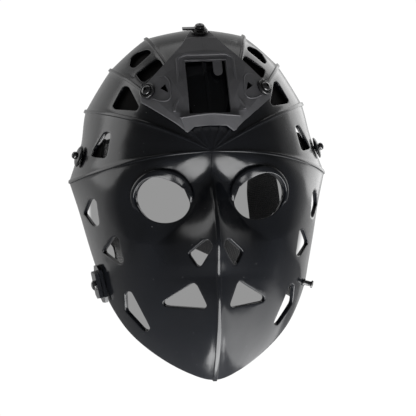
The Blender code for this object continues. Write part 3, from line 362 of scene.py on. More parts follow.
def on_shell(x, z):
    """Points and outward normals of the shell at x, z, mirrored where x is negative."""
    side = np.where(np.asarray(x) < 0, -1.0, 1.0)
    row, out = place_on_shell(np.abs(x), z)
    point = surface(row, out) * np.stack([side, np.ones_like(side), np.ones_like(side)], -1).reshape(-1, 3)
    facing = normal(row, out) * np.stack([side, np.ones_like(side), np.ones_like(side)], -1).reshape(-1, 3)
    return point, facing


def shares_to_place(corner):
    """Corner in metres from its shares of the half width and of the rise or drop."""
    return corner[0] * HALF_WIDTH, corner[1] * (MASK_RISE if corner[1] > 0 else MASK_DROP)


def rounded(corners, radius, steps=3):
    """Outline that reaches each corner with a round nose of the given radius."""
    corners = np.array(corners, float)
    area = np.sum(corners[:, 0] * np.roll(corners[:, 1], -1) - corners[:, 1] * np.roll(corners[:, 0], -1))
    corners = corners if area > 0 else corners[::-1]
    to_last = unit(np.roll(corners, 1, axis=0) - corners)
    to_next = unit(np.roll(corners, -1, axis=0) - corners)
    centres = corners + unit(to_last + to_next) * radius
    edge = unit(np.roll(centres, -1, axis=0) - centres)
    out = np.stack([edge[:, 1], -edge[:, 0]], axis=1)
    outline = []
    for centre, first, last in zip(centres, np.roll(out, 1, axis=0), out):
        swing = math.acos(float(np.clip(first @ last, -1, 1)))
        for turn in np.linspace(0, swing, steps):
            c, s = math.cos(turn), math.sin(turn)
            outline.append(centre + radius * np.array([c * first[0] - s * first[1],
                                                       s * first[0] + c * first[1]]))
    return np.array(outline)


def shell_spot(x, z):
    """One point of the shell at x, z, and its outward normal."""
    point, axis = on_shell(np.array([x]), np.array([z]))
    return point[0], axis[0]


def rim_spot(z, back):
    """Point and outward normal on the shell's side at height z, set back from its edge."""
    rows = np.linspace(ROW["jaw_low"], BROW, 200)
    edge = surface(rows, np.ones_like(rows))
    row = rows[np.argmin(np.abs(edge[:, 2] - z))]
    outs = np.linspace(0.6, 1.0, 200)
    line = surface(np.full_like(outs, row), outs)
    away = np.linalg.norm(line - line[-1], axis=1)
    out = outs[np.argmin(np.abs(away - back))]
    return surface(np.array([row]), np.array([out]))[0], normal(np.array([row]), np.array([out]))[0]


def inside_line(row, first, behind):
    """Points just inside the wall along one row of the shell, from a share out to its edge."""
    outs = np.linspace(first, 1.0, 5)
    rows = np.full_like(outs, row)
    return surface(rows, outs) - normal(rows, outs) * behind


def rim_fix(side):
    """Fixing at the jaw: the clip where side is -1, the stud where side is 1."""
    point, axis = rim_spot(*((STUD_Z, STUD_BACK) if side > 0 else (CLIP_Z, CLIP_BACK)))
    mirror = np.array([side, 1.0, 1.0])
    return point * mirror, axis * mirror


def smooth_route(route, count):
    """Evenly spaced points on a smooth curve through the route; columns past the third are carried
    along."""
    route = np.array(route, float)
    keys = np.vstack([2 * route[0] - route[1], route, 2 * route[-1] - route[-2]])
    fine = catmull(keys, np.linspace(0, len(route) - 1, 400))
    run = np.concatenate([[0.0], np.cumsum(np.linalg.norm(np.diff(fine[:, :3], axis=0), axis=1))])
    want = np.linspace(0, run[-1], count)
    return np.stack([np.interp(want, run, fine[:, k]) for k in range(fine.shape[1])], axis=1)


def strap_half(point, lead, back_y, back_z):
    """Route of half a strap, x positive: from inside the wall at a fixing round to the middle of the
    back."""
    row, out = place_on_shell(np.abs(point[:1]), point[2:])
    row, first = row[0], out[0] - lead
    behind = WALL + STRAP_BEHIND + WEB_THICK / 2
    line = inside_line(row, first, behind)
    turn = np.linspace(0, math.pi / 2, 8)[1:]
    start = line[-1] + np.array([0.0, EDGE_RUN, 0.0])
    oval = np.stack([
        start[0] * np.cos(turn) ** 0.86,
        start[1] + (back_y - start[1]) * np.sin(turn),
        start[2] + (back_z - start[2]) * (1 - np.cos(turn)),
    ], axis=1)
    oval[-1, 0] = 0.0
    outs = np.linspace(first, 1.0, 5)
    lean = unit(surface(np.full_like(outs, row + 0.35), outs) - surface(np.full_like(outs, row - 0.35),
                                                                        outs))
    lean = lean * np.sign(lean[:, 2:])
    upright = np.tile([0.0, 0.0, 1.0], (len(turn), 1))
    ups = np.vstack([lean, 0.6 * lean[-1] + 0.4 * upright[:1], upright])
    half = smooth_route(np.hstack([np.vstack([line, start[None], oval]), ups]), 16)
    half[-1, 0] = 0.0
    return half


def strap_round(right, left, lead, back_y, back_z):
    """Centre line and width directions of a strap from the right fixing round the back to the left one."""
    first = strap_half(right, lead, back_y, back_z)
    last = strap_half(left, lead, back_y, back_z) * np.tile([-1.0, 1.0, 1.0], 2)
    whole = np.vstack([first, last[-2::-1]])
    return whole[:, :3], whole[:, 3:]


# Camera

CAMERA_YAW = -0.10420
CAMERA_ROLL = -0.04014
CAMERA_DISTANCE = 1.100
CAMERA_TARGET = (-0.0039, -0.0950, -0.0366)
CAMERA_LENS = 147.72


def place_camera():
    """Camera on a ray square to the wearer's brow, turned by the yaw and rolled about its own line of
    sight."""
    view = bpy.data.cameras.new("portrait_camera")
    view.lens = CAMERA_LENS
    view.sensor_width = 36.0
    view.sensor_fit = "HORIZONTAL"
    view.clip_start = 0.01
    camera = bpy.data.objects.new("portrait_camera", view)
    bpy.context.scene.collection.objects.link(camera)
    a, s = CAMERA_YAW, CAMERA_ROLL
    back = np.array([math.sin(a), -math.cos(a), 0.0])
    right = np.array([math.cos(a), math.sin(a), 0.0])
    up = np.array([0.0, 0.0, 1.0])
    across = math.cos(s) * right + math.sin(s) * up
    upward = -math.sin(s) * right + math.cos(s) * up
    spot = np.array(CAMERA_TARGET) + back * CAMERA_DISTANCE
    turn = np.eye(4)
    turn[:3, 0], turn[:3, 1], turn[:3, 2], turn[:3, 3] = across, upward, back, spot
    camera.matrix_world = Matrix(turn.tolist())
    bpy.context.scene.camera = camera


place_camera()


# Materials

def finish_nodes(name, colour, roughness, metallic=0.0, coat=0.0, coat_roughness=0.1, specular=0.5):
    """Principled material with constants on its own sockets."""
    made = bpy.data.materials.new(name)
    made.use_nodes = True
    tree = made.node_tree
    shader = tree.nodes["Principled BSDF"]
    shader.inputs["Base Color"].default_value = (*colour, 1.0)
    shader.inputs["Roughness"].default_value = roughness
    shader.inputs["Metallic"].default_value = metallic
    shader.inputs["Coat Weight"].default_value = coat
    shader.inputs["Coat Roughness"].default_value = coat_roughness
    shader.inputs["Specular IOR Level"].default_value = specular
    return made, tree, shader


def noise(tree, scale, detail=3.0, roughness=0.55, uv=False, stretch=(1.0, 1.0, 1.0)):
    """Noise on object coordinates in metres, or on the piece's UV map, stretched along its axes."""
    place = tree.nodes.new("ShaderNodeTexCoord")
    mapping = tree.nodes.new("ShaderNodeMapping")
    mapping.inputs["Scale"].default_value = stretch
    field = tree.nodes.new("ShaderNodeTexNoise")
    field.inputs["Scale"].default_value = scale
    field.inputs["Detail"].default_value = detail
    field.inputs["Roughness"].default_value = roughness
    tree.links.new(place.outputs["UV" if uv else "Object"], mapping.inputs["Vector"])
    tree.links.new(mapping.outputs["Vector"], field.inputs["Vector"])
    return field.outputs["Fac"]


def ramp(tree, value, low, high, start, end):
    """Linear change from start to end while value goes from low to high."""
    change = tree.nodes.new("ShaderNodeMapRange")
    change.inputs["From Min"].default_value = low
    change.inputs["From Max"].default_value = high
    change.inputs["To Min"].default_value = start
    change.inputs["To Max"].default_value = end
    tree.links.new(value, change.inputs["Value"])
    return change.outputs["Result"]


def blend_colours(tree, factor, first, second):
    """Mix of two colours by a factor; each is a plain colour or a socket."""
    mix = tree.nodes.new("ShaderNodeMix")
    mix.data_type = "RGBA"
    for socket, colour in ((mix.inputs[6], first), (mix.inputs[7], second)):
        if isinstance(colour, tuple):
            socket.default_value = (*colour, 1.0)
        else:
            tree.links.new(colour, socket)
    tree.links.new(factor, mix.inputs[0])
    return mix.outputs[2]


def sums(tree, operation, first, second):
    """Math node on two values, each a plain number or a socket."""
    node = tree.nodes.new("ShaderNodeMath")
    node.operation = operation
    for socket, value in ((node.inputs[0], first), (node.inputs[1], second)):
        if isinstance(value, (int, float)):
            socket.default_value = value
        else:
            tree.links.new(value, socket)
    return node.outputs["Value"]


def bump(tree, shader, height, distance, strength=1.0, before=None):
    """Relief of a height over a distance in metres, on the normal of the shader."""
    node = tree.nodes.new("ShaderNodeBump")
    node.inputs["Distance"].default_value = distance
    node.inputs["Strength"].default_value = strength
    tree.links.new(height, node.inputs["Height"])
    if before is not None:
        tree.links.new(before, node.inputs["Normal"])
    tree.links.new(node.outputs["Normal"], shader.inputs["Normal"])
    return node.outputs["Normal"]


def specks(tree, scale, size):
    """Rare round specks: 1 within size of a scattered cell point, for the few cells that are picked."""
    place = tree.nodes.new("ShaderNodeTexCoord")
    cells = tree.nodes.new("ShaderNodeTexVoronoi")
    cells.inputs["Scale"].default_value = scale
    tree.links.new(place.outputs["Object"], cells.inputs["Vector"])
    near = sums(tree, "LESS_THAN", cells.outputs["Distance"], size)
    split = tree.nodes.new("ShaderNodeSeparateColor")
    tree.links.new(cells.outputs["Color"], split.inputs["Color"])
    picked = sums(tree, "GREATER_THAN", split.outputs["Red"], 0.90)
    return sums(tree, "MULTIPLY", near, picked)


def make_shell_plastic():
    """Near-black glossy plastic with a faint haze, dust and an uneven gloss."""
    made, tree, shader = finish_nodes("glossy_shell_plastic", (0.0085, 0.0095, 0.0120), 0.13, specular=0.55)
    dust = specks(tree, 330.0, 0.075)
    haze = ramp(tree, noise(tree, 55.0, 4.0), 0.35, 0.75, 0.0, 0.25)
    colour = blend_colours(tree, haze, (0.0070, 0.0080, 0.0105), (0.012, 0.013, 0.016))
    tree.links.new(blend_colours(tree, dust, colour, (0.22, 0.22, 0.22)), shader.inputs["Base Color"])
    rough = ramp(tree, noise(tree, 38.0, 5.0), 0.30, 0.72, 0.14, 0.23)
    tree.links.new(sums(tree, "MAXIMUM", rough, sums(tree, "MULTIPLY", dust, 0.6)),
                   shader.inputs["Roughness"])
    wave = bump(tree, shader, noise(tree, 70.0, 1.0), 0.00035, 0.35)
    bump(tree, shader, noise(tree, 900.0, 2.0), 0.00003, 0.30, before=wave)
    return made


def make_shroud_plastic():
    """Dark grey moulded plastic with fine grain and light flecks."""
    made, tree, shader = finish_nodes("grained_shroud_plastic", (0.158, 0.158, 0.168), 0.55, specular=0.45)
    grain = noise(tree, 2300.0, 3.0, 0.6)
    patch = ramp(tree, noise(tree, 90.0, 4.0), 0.3, 0.7, 0.0, 1.0)
    colour = blend_colours(tree, patch, (0.146, 0.146, 0.156), (0.176, 0.176, 0.187))
    fleck = ramp(tree, grain, 0.52, 0.72, 0.0, 0.35)
    tree.links.new(blend_colours(tree, fleck, colour, (0.235, 0.235, 0.248)), shader.inputs["Base Color"])
    tree.links.new(ramp(tree, grain, 0.3, 0.7, 0.46, 0.66), shader.inputs["Roughness"])
    bump(tree, shader, grain, 0.00012, 0.8)
    return made


def make_black_steel():
    """Blackened steel, a little worn."""
    made, tree, shader = finish_nodes("blackened_steel", (0.020, 0.020, 0.022), 0.22, metallic=0.0,
                                      coat=0.6,
                                      coat_roughness=0.12, specular=0.9)
    worn = ramp(tree, noise(tree, 900.0, 4.0), 0.50, 0.78, 0.0, 0.35)
    tree.links.new(blend_colours(tree, worn, (0.016, 0.016, 0.018), (0.085, 0.082, 0.078)),
                   shader.inputs["Base Color"])
    tree.links.new(ramp(tree, noise(tree, 420.0, 4.0), 0.3, 0.7, 0.16, 0.34), shader.inputs["Roughness"])
    bump(tree, shader, noise(tree, 1500.0, 2.0), 0.00004, 0.5)
    return made


def make_webbing():
    """Woven ribs across the strap on its own map, with painted shade in the grooves between them: u runs
    along the strap and v across it, both in metres."""
    made, tree, shader = finish_nodes("woven_webbing", (0.010, 0.010, 0.011), 0.86, specular=0.25)
    shader.inputs["Sheen Weight"].default_value = 0.25
    shader.inputs["Sheen Roughness"].default_value = 0.5
    place = tree.nodes.new("ShaderNodeTexCoord")
    split = tree.nodes.new("ShaderNodeSeparateXYZ")
    tree.links.new(place.outputs["UV"], split.inputs["Vector"])
    along = sums(tree, "SINE", sums(tree, "MULTIPLY", split.outputs["X"], 2 * math.pi / 0.0017), 0.0)
    across = sums(tree, "SINE", sums(tree, "MULTIPLY", split.outputs["Y"], 2 * math.pi / 0.0013), 0.0)
    weave = sums(tree, "ADD", sums(tree, "MULTIPLY", along, across), sums(tree, "MULTIPLY", along, 0.6))
    # painted shade: the weave's colour is darker in its grooves and lighter on its ribs, following the height
    # of its bump
    painted_shade = ramp(tree, weave, -1.4, 1.4, 0.0, 1.0)
    fuzz = ramp(tree, noise(tree, 3000.0, 2.0), 0.4, 0.7, 0.0, 0.4)
    colour = blend_colours(tree, painted_shade, (0.006, 0.006, 0.007), (0.017, 0.017, 0.018))
    tree.links.new(blend_colours(tree, fuzz, colour, (0.022, 0.022, 0.023)), shader.inputs["Base Color"])
    bump(tree, shader, weave, 0.00025, 0.9)
    return made


def make_foam():
    """Black open foam with small cells, with painted shade in the pits of the cells."""
    made, tree, shader = finish_nodes("open_foam", (0.008, 0.008, 0.008), 0.95, specular=0.2)
    cells = noise(tree, 1600.0, 4.0, 0.7)
    # painted shade: the foam is darker where its cell bump sinks and lighter where it rises
    painted_pit_shade = ramp(tree, cells, 0.35, 0.7, 0.0, 1.0)
    tree.links.new(blend_colours(tree, painted_pit_shade, (0.005, 0.005, 0.005), (0.014, 0.013, 0.013)),
                   shader.inputs["Base Color"])
    bump(tree, shader, cells, 0.0004, 0.9)
    return made


SHELL_FINISH = make_shell_plastic()
SHROUD_FINISH = make_shroud_plastic()
STEEL_FINISH = make_black_steel()
WEB_FINISH = make_webbing()
FOAM_FINISH = make_foam()


# Mesh helpers

def piece(name, points, faces, look, smooth_angle=None, uvs=None):
    """Closed mesh object at the origin; faces may be arrays of triangles or quads, uvs one pair a point."""
    mesh = bpy.data.meshes.new(name)
    mesh.from_pydata(np.asarray(points, float).tolist(), [], [tuple(map(int, face)) for face in faces])
    mesh.update()
    if uvs is not None:
        layer = mesh.uv_layers.new(name="UVMap")
        loops = np.zeros(len(mesh.loops), dtype=np.int32)
        mesh.loops.foreach_get("vertex_index", loops)
        layer.data.foreach_set("uv", np.asarray(uvs, float)[loops].ravel())
    body = bpy.data.objects.new(name, mesh)
    bpy.context.scene.collection.objects.link(body)
    mesh.materials.append(look)
    turn_out(body, smooth_angle)
    return body


def turn_out(body, smooth_angle=None):
    """Faces point outwards; edges sharper than the angle stay crisp under smooth shading."""
    work = bmesh.new()
    work.from_mesh(body.data)
    bmesh.ops.remove_doubles(work, verts=work.verts, dist=0.000002)
    bmesh.ops.dissolve_degenerate(work, edges=work.edges, dist=0.000001)
    bmesh.ops.recalc_face_normals(work, faces=work.faces)
    if work.calc_volume(signed=True) < 0.0:
        bmesh.ops.reverse_faces(work, faces=work.faces)
    limit = math.radians(180.0 if smooth_angle is None else smooth_angle)
    for edge in work.edges:
        edge.smooth = len(edge.link_faces) != 2 or edge.calc_face_angle(0.0) < limit
    for face in work.faces:
        face.smooth = True
    work.to_mesh(body.data)
    work.free()


def stands_for(body, node):
    """Fix a piece to the body in place of a node of the solids, and hide that node."""
    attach(body, "root")
    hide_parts(node)
    return body


# Shell

RIB_PROFILE = ((-1.25, 0.0), (-1.05, 0.10), (-0.95, 0.55), (-0.84, 0.93), (-0.70, 1.0), (0.0, 0.96),
               (0.70, 1.0), (0.84, 0.93), (0.95, 0.55), (1.05, 0.10), (1.25, 0.0))
RIB_ROWS = {0: KEEL_RIB_HEIGHT, BROW: BROW_RIB_HEIGHT, ROW["rib_low"]: RIB_HEIGHT,
            ROW["rib_mid"]: RIB_HEIGHT,
            ROW["rib_high"]: RIB_HEIGHT, CROWN: RIB_HEIGHT}
SPAN_COUNTS = (5, 5, 8, 12, 13, 13, 12, 9, 6, 6, 8, 8, 8)
EDGE_ROUND = 0.0005
KEEL_RIB_HALF = 0.0015
HOOD_KEYS = (
    # degrees round the eye from its outer corner, how wide the hood is, how far it stands off
    (-60.0, 0.0000, 0.0000),
    (-26.0, 0.0001, 0.0001),
    (-12.0, 0.0020, 0.0009),
    (20.0, 0.0026, 0.0014),
    (50.0, 0.0030, 0.0018),
    (90.0, 0.0043, 0.0023),
    (122.0, 0.0048, 0.0026),
    (148.0, 0.0042, 0.0026),
    (165.0, 0.0034, 0.0024),
    (176.0, 0.0026, 0.0018),
    (186.0, 0.0011, 0.0008),
    (193.0, 0.0001, 0.0001),
    (200.0, 0.0000, 0.0000),
)


def rib_shift(row, outs):
    """Share of a row that half a rib takes: its half width over the width of the row there."""
    rows = np.full_like(outs, float(row))
    low, high = np.clip(rows - 0.5, 0, CROWN), np.clip(rows + 0.5, 0, CROWN)
    width = np.linalg.norm(surface(high, outs) - surface(low, outs), axis=-1) / (high - low)
    half = KEEL_RIB_HALF if row == 0 else RIB_HALF_START + (RIB_HALF_END - RIB_HALF_START) * outs
    return np.minimum(half / width, 0.30)


def shell_lines(outs):
    """Rows and rib heights of every grid line: bundles along the ribs, even spans between them."""
    rows, heights = [], []
    for row in range(CROWN + 1):
        if row in RIB_ROWS:
            shift = rib_shift(row, outs)
            for s, tall in RIB_PROFILE:
                if (row > 0 or s >= 0) and (row < CROWN or s <= 0):
                    rows.append(row + s * shift)
                    heights.append(np.full_like(outs, tall * RIB_ROWS[row]))
        else:
            rows.append(np.full_like(outs, float(row)))
            heights.append(np.zeros_like(outs))
        if row < CROWN:
            left = row + (RIB_PROFILE[-1][0] * rib_shift(row,
                                                         outs) if row in RIB_ROWS
                                                         else 0.0) * np.ones_like(outs)
            right = row + 1 - (RIB_PROFILE[-1][0] * rib_shift(row + 1,
                                                              outs) if row + 1 in RIB_ROWS
                                                              else 0.0) * np.ones_like(outs)
            for f in np.linspace(0, 1, SPAN_COUNTS[row] + 2)[1:-1]:
                rows.append(left + (right - left) * f)
                heights.append(np.zeros_like(outs))
    return np.array(rows), np.array(heights)


def inside(outline, x, z):
    """Crossing-number test of many points against one closed outline."""
    ax, az = outline[:, 0], outline[:, 1]
    bx, bz = np.roll(ax, -1), np.roll(az, -1)
    x, z = x[..., None], z[..., None]
    spans = (az > z) != (bz > z)
    cut = ax + (z - az) / np.where(bz == az, 1e-12, bz - az) * (bx - ax)
    return np.sum(spans & (x < cut), axis=-1) % 2 == 1


def flat_place(rows, outs):
    """Front view of shell points: x and z for row and share out."""
    key = rim(rows)
    radius = outs * np.hypot(key[..., 0], key[..., 1])
    angle = np.arctan2(key[..., 1], key[..., 0]) + key[..., 5] * (1 - outs)
    return radius * np.cos(angle), radius * np.sin(angle)


def eye_ring(turn, extra):
    """Ellipse of the eye opening, widened by extra, at angles measured from its outer corner."""
    x = EYE["x"] * HALF_WIDTH + (EYE_HALF_WIDTH + extra) * np.cos(turn) + EYE_SLANT * np.sin(turn)
    z = -EYE["z"] * MASK_DROP + (EYE_HALF_HEIGHT + extra) * np.sin(turn)
    return np.stack([x, z], axis=-1)


def hood_at(turn):
    """Width and height of the hood by smooth interpolation of its keys."""
    keys = np.array(HOOD_KEYS)
    degrees = (np.degrees(turn) + 160.0) % 360.0 - 160.0
    degrees = np.where(degrees < -60.0, -60.0, degrees)
    return through(degrees, keys[:, 0], keys[:, 1]), through(degrees, keys[:, 0], keys[:, 2])


def offset_outline(outline, distance):
    """Outline moved outwards by the distance along the mean normal of its sides."""
    side = unit(np.roll(outline, -1, axis=0) - np.roll(outline, 1, axis=0))
    return outline + np.stack([side[:, 1], -side[:, 0]], axis=1) * distance


def dense_outline(outline, count):
    """Closed outline resampled evenly."""
    closed = np.vstack([outline, outline[:1]])
    run = np.concatenate([[0.0], np.cumsum(np.linalg.norm(np.diff(closed, axis=0), axis=1))])
    want = np.linspace(0, run[-1], count, endpoint=False)
    return np.stack([np.interp(want, run, closed[:, k]) for k in range(2)], axis=1)


def shell_openings():
    """Name, outline at the outer skin and whether it is the eye, for one side."""
    made = []
    for name, corners in VENTS.items():
        outline = rounded([shares_to_place(c) for c in corners], VENT_CORNER_RADIUS, 9)
        made.append((name, offset_outline(dense_outline(outline, 160), EDGE_ROUND), False))
    turn = np.linspace(0, 2 * math.pi, 240, endpoint=False)
    made.append(("eye", eye_ring(turn, EDGE_ROUND + hood_at(turn)[0]), True))
    return made


def snap_openings(rows, outs, openings):
    """Moves the nearer end of each grid edge that crosses an outline onto it. State is 0 outside, 1 on,
    2 inside."""
    state = np.zeros(rows.shape, int)
    owner = np.full(rows.shape, -1)
    for index, (_, outline, _) in enumerate(openings):
        x, z = flat_place(rows, outs)
        within = inside(outline, x, z)
        state = np.where(within, 2, state)
        owner = np.where(within, index, owner)
        best = np.full(rows.shape, 2.0)
        new_rows, new_outs = rows.copy(), outs.copy()
        for axis in (0, 1):
            first = [slice(None), slice(None)]
            second = [slice(None), slice(None)]
            first[axis], second[axis] = slice(None, -1), slice(1, None)
            first, second = tuple(first), tuple(second)
            ia, ja = np.nonzero(within[first] != within[second])
            ib, jb = (ia + 1, ja) if axis == 0 else (ia, ja + 1)
            flip = within[ib, jb]
            pi, pj = np.where(flip, ib, ia), np.where(flip, jb, ja)
            qi, qj = np.where(flip, ia, ib), np.where(flip, ja, jb)
            low, high = np.zeros(len(pi)), np.ones(len(pi))
            for _ in range(18):
                middle = 0.5 * (low + high)
                r = rows[pi, pj] + (rows[qi, qj] - rows[pi, pj]) * middle
                o = outs[pi, pj] + (outs[qi, qj] - outs[pi, pj]) * middle
                x, z = flat_place(r, o)
                within_here = inside(outline, x, z)
                low, high = np.where(within_here, middle, low), np.where(within_here, high, middle)
            r = rows[pi, pj] + (rows[qi, qj] - rows[pi, pj]) * middle
            o = outs[pi, pj] + (outs[qi, qj] - outs[pi, pj]) * middle
            for ti, tj, share, mine in ((pi, pj, middle, middle < 0.5),
                                        (qi, qj, 1 - middle, middle >= 0.5)):
                order = np.argsort(-share)
                for k in order[mine[order]]:
                    if share[k] < best[ti[k], tj[k]]:
                        best[ti[k], tj[k]] = share[k]
                        new_rows[ti[k], tj[k]], new_outs[ti[k], tj[k]] = r[k], o[k]
        moved = best < 1.5
        state = np.where(moved, 1, state)
        owner = np.where(moved, index, owner)
        rows, outs = new_rows, new_outs
    return rows, outs, state, owner


def build_shell_skin():
    """Half shell: outer skin = surface + rib relief along the normal, inner skin = surface - wall,
    walls round each opening."""
    ring = np.concatenate([np.linspace(0.018, 0.20, 22), np.linspace(0.20, 0.575, 64)[1:],
                           np.linspace(0.575, 1.0, 58)[1:]])
    rows, heights = shell_lines(ring)
    outs = np.ones_like(rows) * ring[None, :]
    openings = shell_openings()
    rows, outs, state, owner = snap_openings(rows, outs, openings)
    base = surface(rows, outs)
    facing = normal(rows, outs)
    lower = np.clip(outs / 0.25, 0.25, 1.0)
    lower[:6] = np.clip(outs[:6] / 0.05, 0.25, 1.0)
    heights = heights * lower * (state == 0)
    outer = base + facing * heights[..., None]
    inner = base - facing * WALL
    for skin in (outer, inner):
        skin[0, :, 0] = 0.0
        skin[-1, :, 0] = 0.0
    count, deep = rows.shape
    number = np.arange(count * deep).reshape(count, deep)
    a, b, c, d = number[:-1, :-1].ravel(), number[1:, :-1].ravel(), number[1:, 1:].ravel(), number[:-1,
                                                                                                   1:].ravel()
    flat_state = state.ravel()
    split = (flat_state[a] == 2) ^ (flat_state[c] == 2)
    one = np.where(split[:, None], np.stack([a, b, d], 1), np.stack([a, b, c], 1))
    two = np.where(split[:, None], np.stack([b, c, d], 1), np.stack([a, c, d], 1))
    tris = np.vstack([one, two])
    kept = np.all(flat_state[tris] < 2, axis=1)
    tris = tris[kept]
    on = np.all(flat_state[tris] == 1, axis=1)
    flat_base = base.reshape(-1, 3)
    drop = np.zeros(len(tris), bool)
    centre = flat_base[tris[on]].mean(axis=1)
    who = owner.ravel()[tris[on][:, 0]]
    gone = np.zeros(len(centre), bool)
    for index, (_, outline, _) in enumerate(openings):
        gone |= (who == index) & inside(outline, centre[:, 0], centre[:, 2])
    drop[np.nonzero(on)[0][gone]] = True
    tris = tris[~drop]
    total = count * deep
    points = [outer.reshape(-1, 3), inner.reshape(-1, 3)]
    faces = [tris, tris[:, ::-1] + total]
    nasion = np.array([[0.0, -HEAD_CENTRE_BACK - 0.25 * RIB_HEIGHT, 0.0],
                       [0.0, -HEAD_CENTRE_BACK + WALL, 0.0]])
    points.append(nasion)
    hub = 2 * total
    fan_a, fan_b = number[:-1, 0], number[1:, 0]
    faces.append(np.stack([np.full(count - 1, hub), fan_b, fan_a], 1))
    faces.append(np.stack([np.full(count - 1, hub + 1), fan_a + total, fan_b + total], 1))
    used = 2 * total + 2

    def add_wall(loop, profile, closed=True):
        """Strip from the outer skin's loop to the inner skin's loop; profile is a list of point arrays
        between them."""
        nonlocal used
        size = len(loop)
        lines = [loop]
        for line in profile:
            points.append(line)
            lines.append(np.arange(used, used + size))
            used += size
        lines.append(loop + total)
        step = np.arange(size if closed else size - 1)
        after = (step + 1) % size
        for first, second in zip(lines[:-1], lines[1:]):
            faces.append(np.stack([first[step], second[step], second[after]], 1))
            faces.append(np.stack([first[step], second[after], first[after]], 1))

    edges = np.vstack([tris[:, [0, 1]], tris[:, [1, 2]], tris[:, [2, 0]]])
    key = edges[:, 0] * total + edges[:, 1]
    lone = edges[~np.isin(key, edges[:, 1] * total + edges[:, 0])]
    lone = lone[np.all(flat_state[lone] == 1, axis=1)]
    follow = {}
    for start, end in lone:
        follow.setdefault(int(start), []).append(int(end))
    flat_face = facing.reshape(-1, 3)
    flat_owner = owner.ravel()
    while follow:
        start = next(iter(follow))
        loop, here = [], start
        while here in follow:
            loop.append(here)
            ends = follow[here]
            onward = ends.pop()
            if not ends:
                del follow[here]
            here = onward
            if here == start:
                break
        if len(loop) < 8:
            continue
        loop = np.array(loop)
        spot, out = flat_base[loop], flat_face[loop]
        along = unit(np.roll(spot, -1, axis=0) - np.roll(spot, 1, axis=0))
        inward = unit(np.cross(along, out))
        middle = spot.mean(axis=0)
        if np.mean(np.sum(inward * (middle - spot), axis=1)) < 0:
            inward = -inward
        r = EDGE_ROUND
        profile = []
        if openings[flat_owner[loop[0]]][2]:
            eye = np.array([EYE["x"] * HALF_WIDTH + 0.0, -EYE["z"] * MASK_DROP])
            turn = np.arctan2((spot[:, 2] - eye[1]) / EYE_HALF_HEIGHT,
                              (spot[:, 0] - eye[0] - EYE_SLANT * (spot[:,
                                                                       2] - eye[1]) / EYE_HALF_HEIGHT)
                                                                       / EYE_HALF_WIDTH)
            off, raised = hood_at(turn)
            ring_out, _ = on_shell(*eye_ring(turn, EDGE_ROUND).T)
            ring_in, _ = on_shell(*eye_ring(turn, 0.0).T)
            h = raised[:, None]
            across = (ring_out - spot) * np.clip(off / 0.0006, 0, 1)[:, None]
            start = np.clip(0.0005 / np.maximum(off, 0.0005), 0, 0.5)[:, None]
            profile.append(spot + across * start * 0.15 + out * h * 0.12)
            profile.append(spot + across * start * 0.55 + out * h * 0.72)
            profile.append(spot + across * start + out * h * 0.96)
            profile.append(spot + across * (start + 0.25 * (1 - start)) + out * h * 1.15)
            profile.append(spot + across * 0.72 + out * h * 1.40)
            profile.append(ring_out + out * h * 1.50)
            profile.append(ring_out + (ring_in - ring_out) * 0.70 + out * (h * 1.50 - 0.3 * r))
            profile.append(ring_in + out * (h * 1.50 - r))
            profile.append(ring_in - out * (WALL - r))
            profile.append(ring_out - out * WALL)
            profile.append(ring_out + (spot - ring_out) * 0.5 - out * WALL)
        else:
            for degrees in (30.0, 60.0, 90.0):
                t = math.radians(degrees)
                profile.append(spot + inward * r * math.sin(t) - out * r * (1 - math.cos(t)))
            for degrees in (90.0, 45.0):
                t = math.radians(degrees)
                profile.append(spot + inward * r * math.sin(t) - out * (WALL - r * (1 - math.cos(t))))
        add_wall(loop, profile)

    edge = number[:, -1]
    spot, out = outer[:, -1], facing[:, -1]
    away = unit(surface(rows[:, -1], np.ones(count)) - surface(rows[:, -1], np.full(count, 0.97)))
    r = 0.0007
    profile = []
    for degrees in (30.0, 60.0, 90.0):
        t = math.radians(degrees)
        profile.append(spot + away * r * math.sin(t) - out * r * (1 - math.cos(t)))
    for degrees in (90.0, 60.0, 30.0):
        t = math.radians(degrees)
        profile.append(inner[:, -1] + away * r * math.sin(t) + out * r * (1 - math.cos(t)))
    for line in profile:
        line[0, 0] = 0.0
        line[-1, 0] = 0.0
    add_wall(edge, profile, closed=False)

    points = np.vstack(points)
    faces = np.vstack(faces)
    used_points = np.unique(faces)
    remap = np.full(len(points), -1)
    remap[used_points] = np.arange(len(used_points))
    points, faces = points[used_points], remap[faces]
    whole = np.vstack([points, points * np.array([-1.0, 1.0, 1.0])])
    both = np.vstack([faces, faces[:, ::-1] + len(points)])
    shell = piece("shell_skin", whole, both, SHELL_FINISH, 55.0)
    return stands_for(shell, "mask_shell")


# Turned pieces

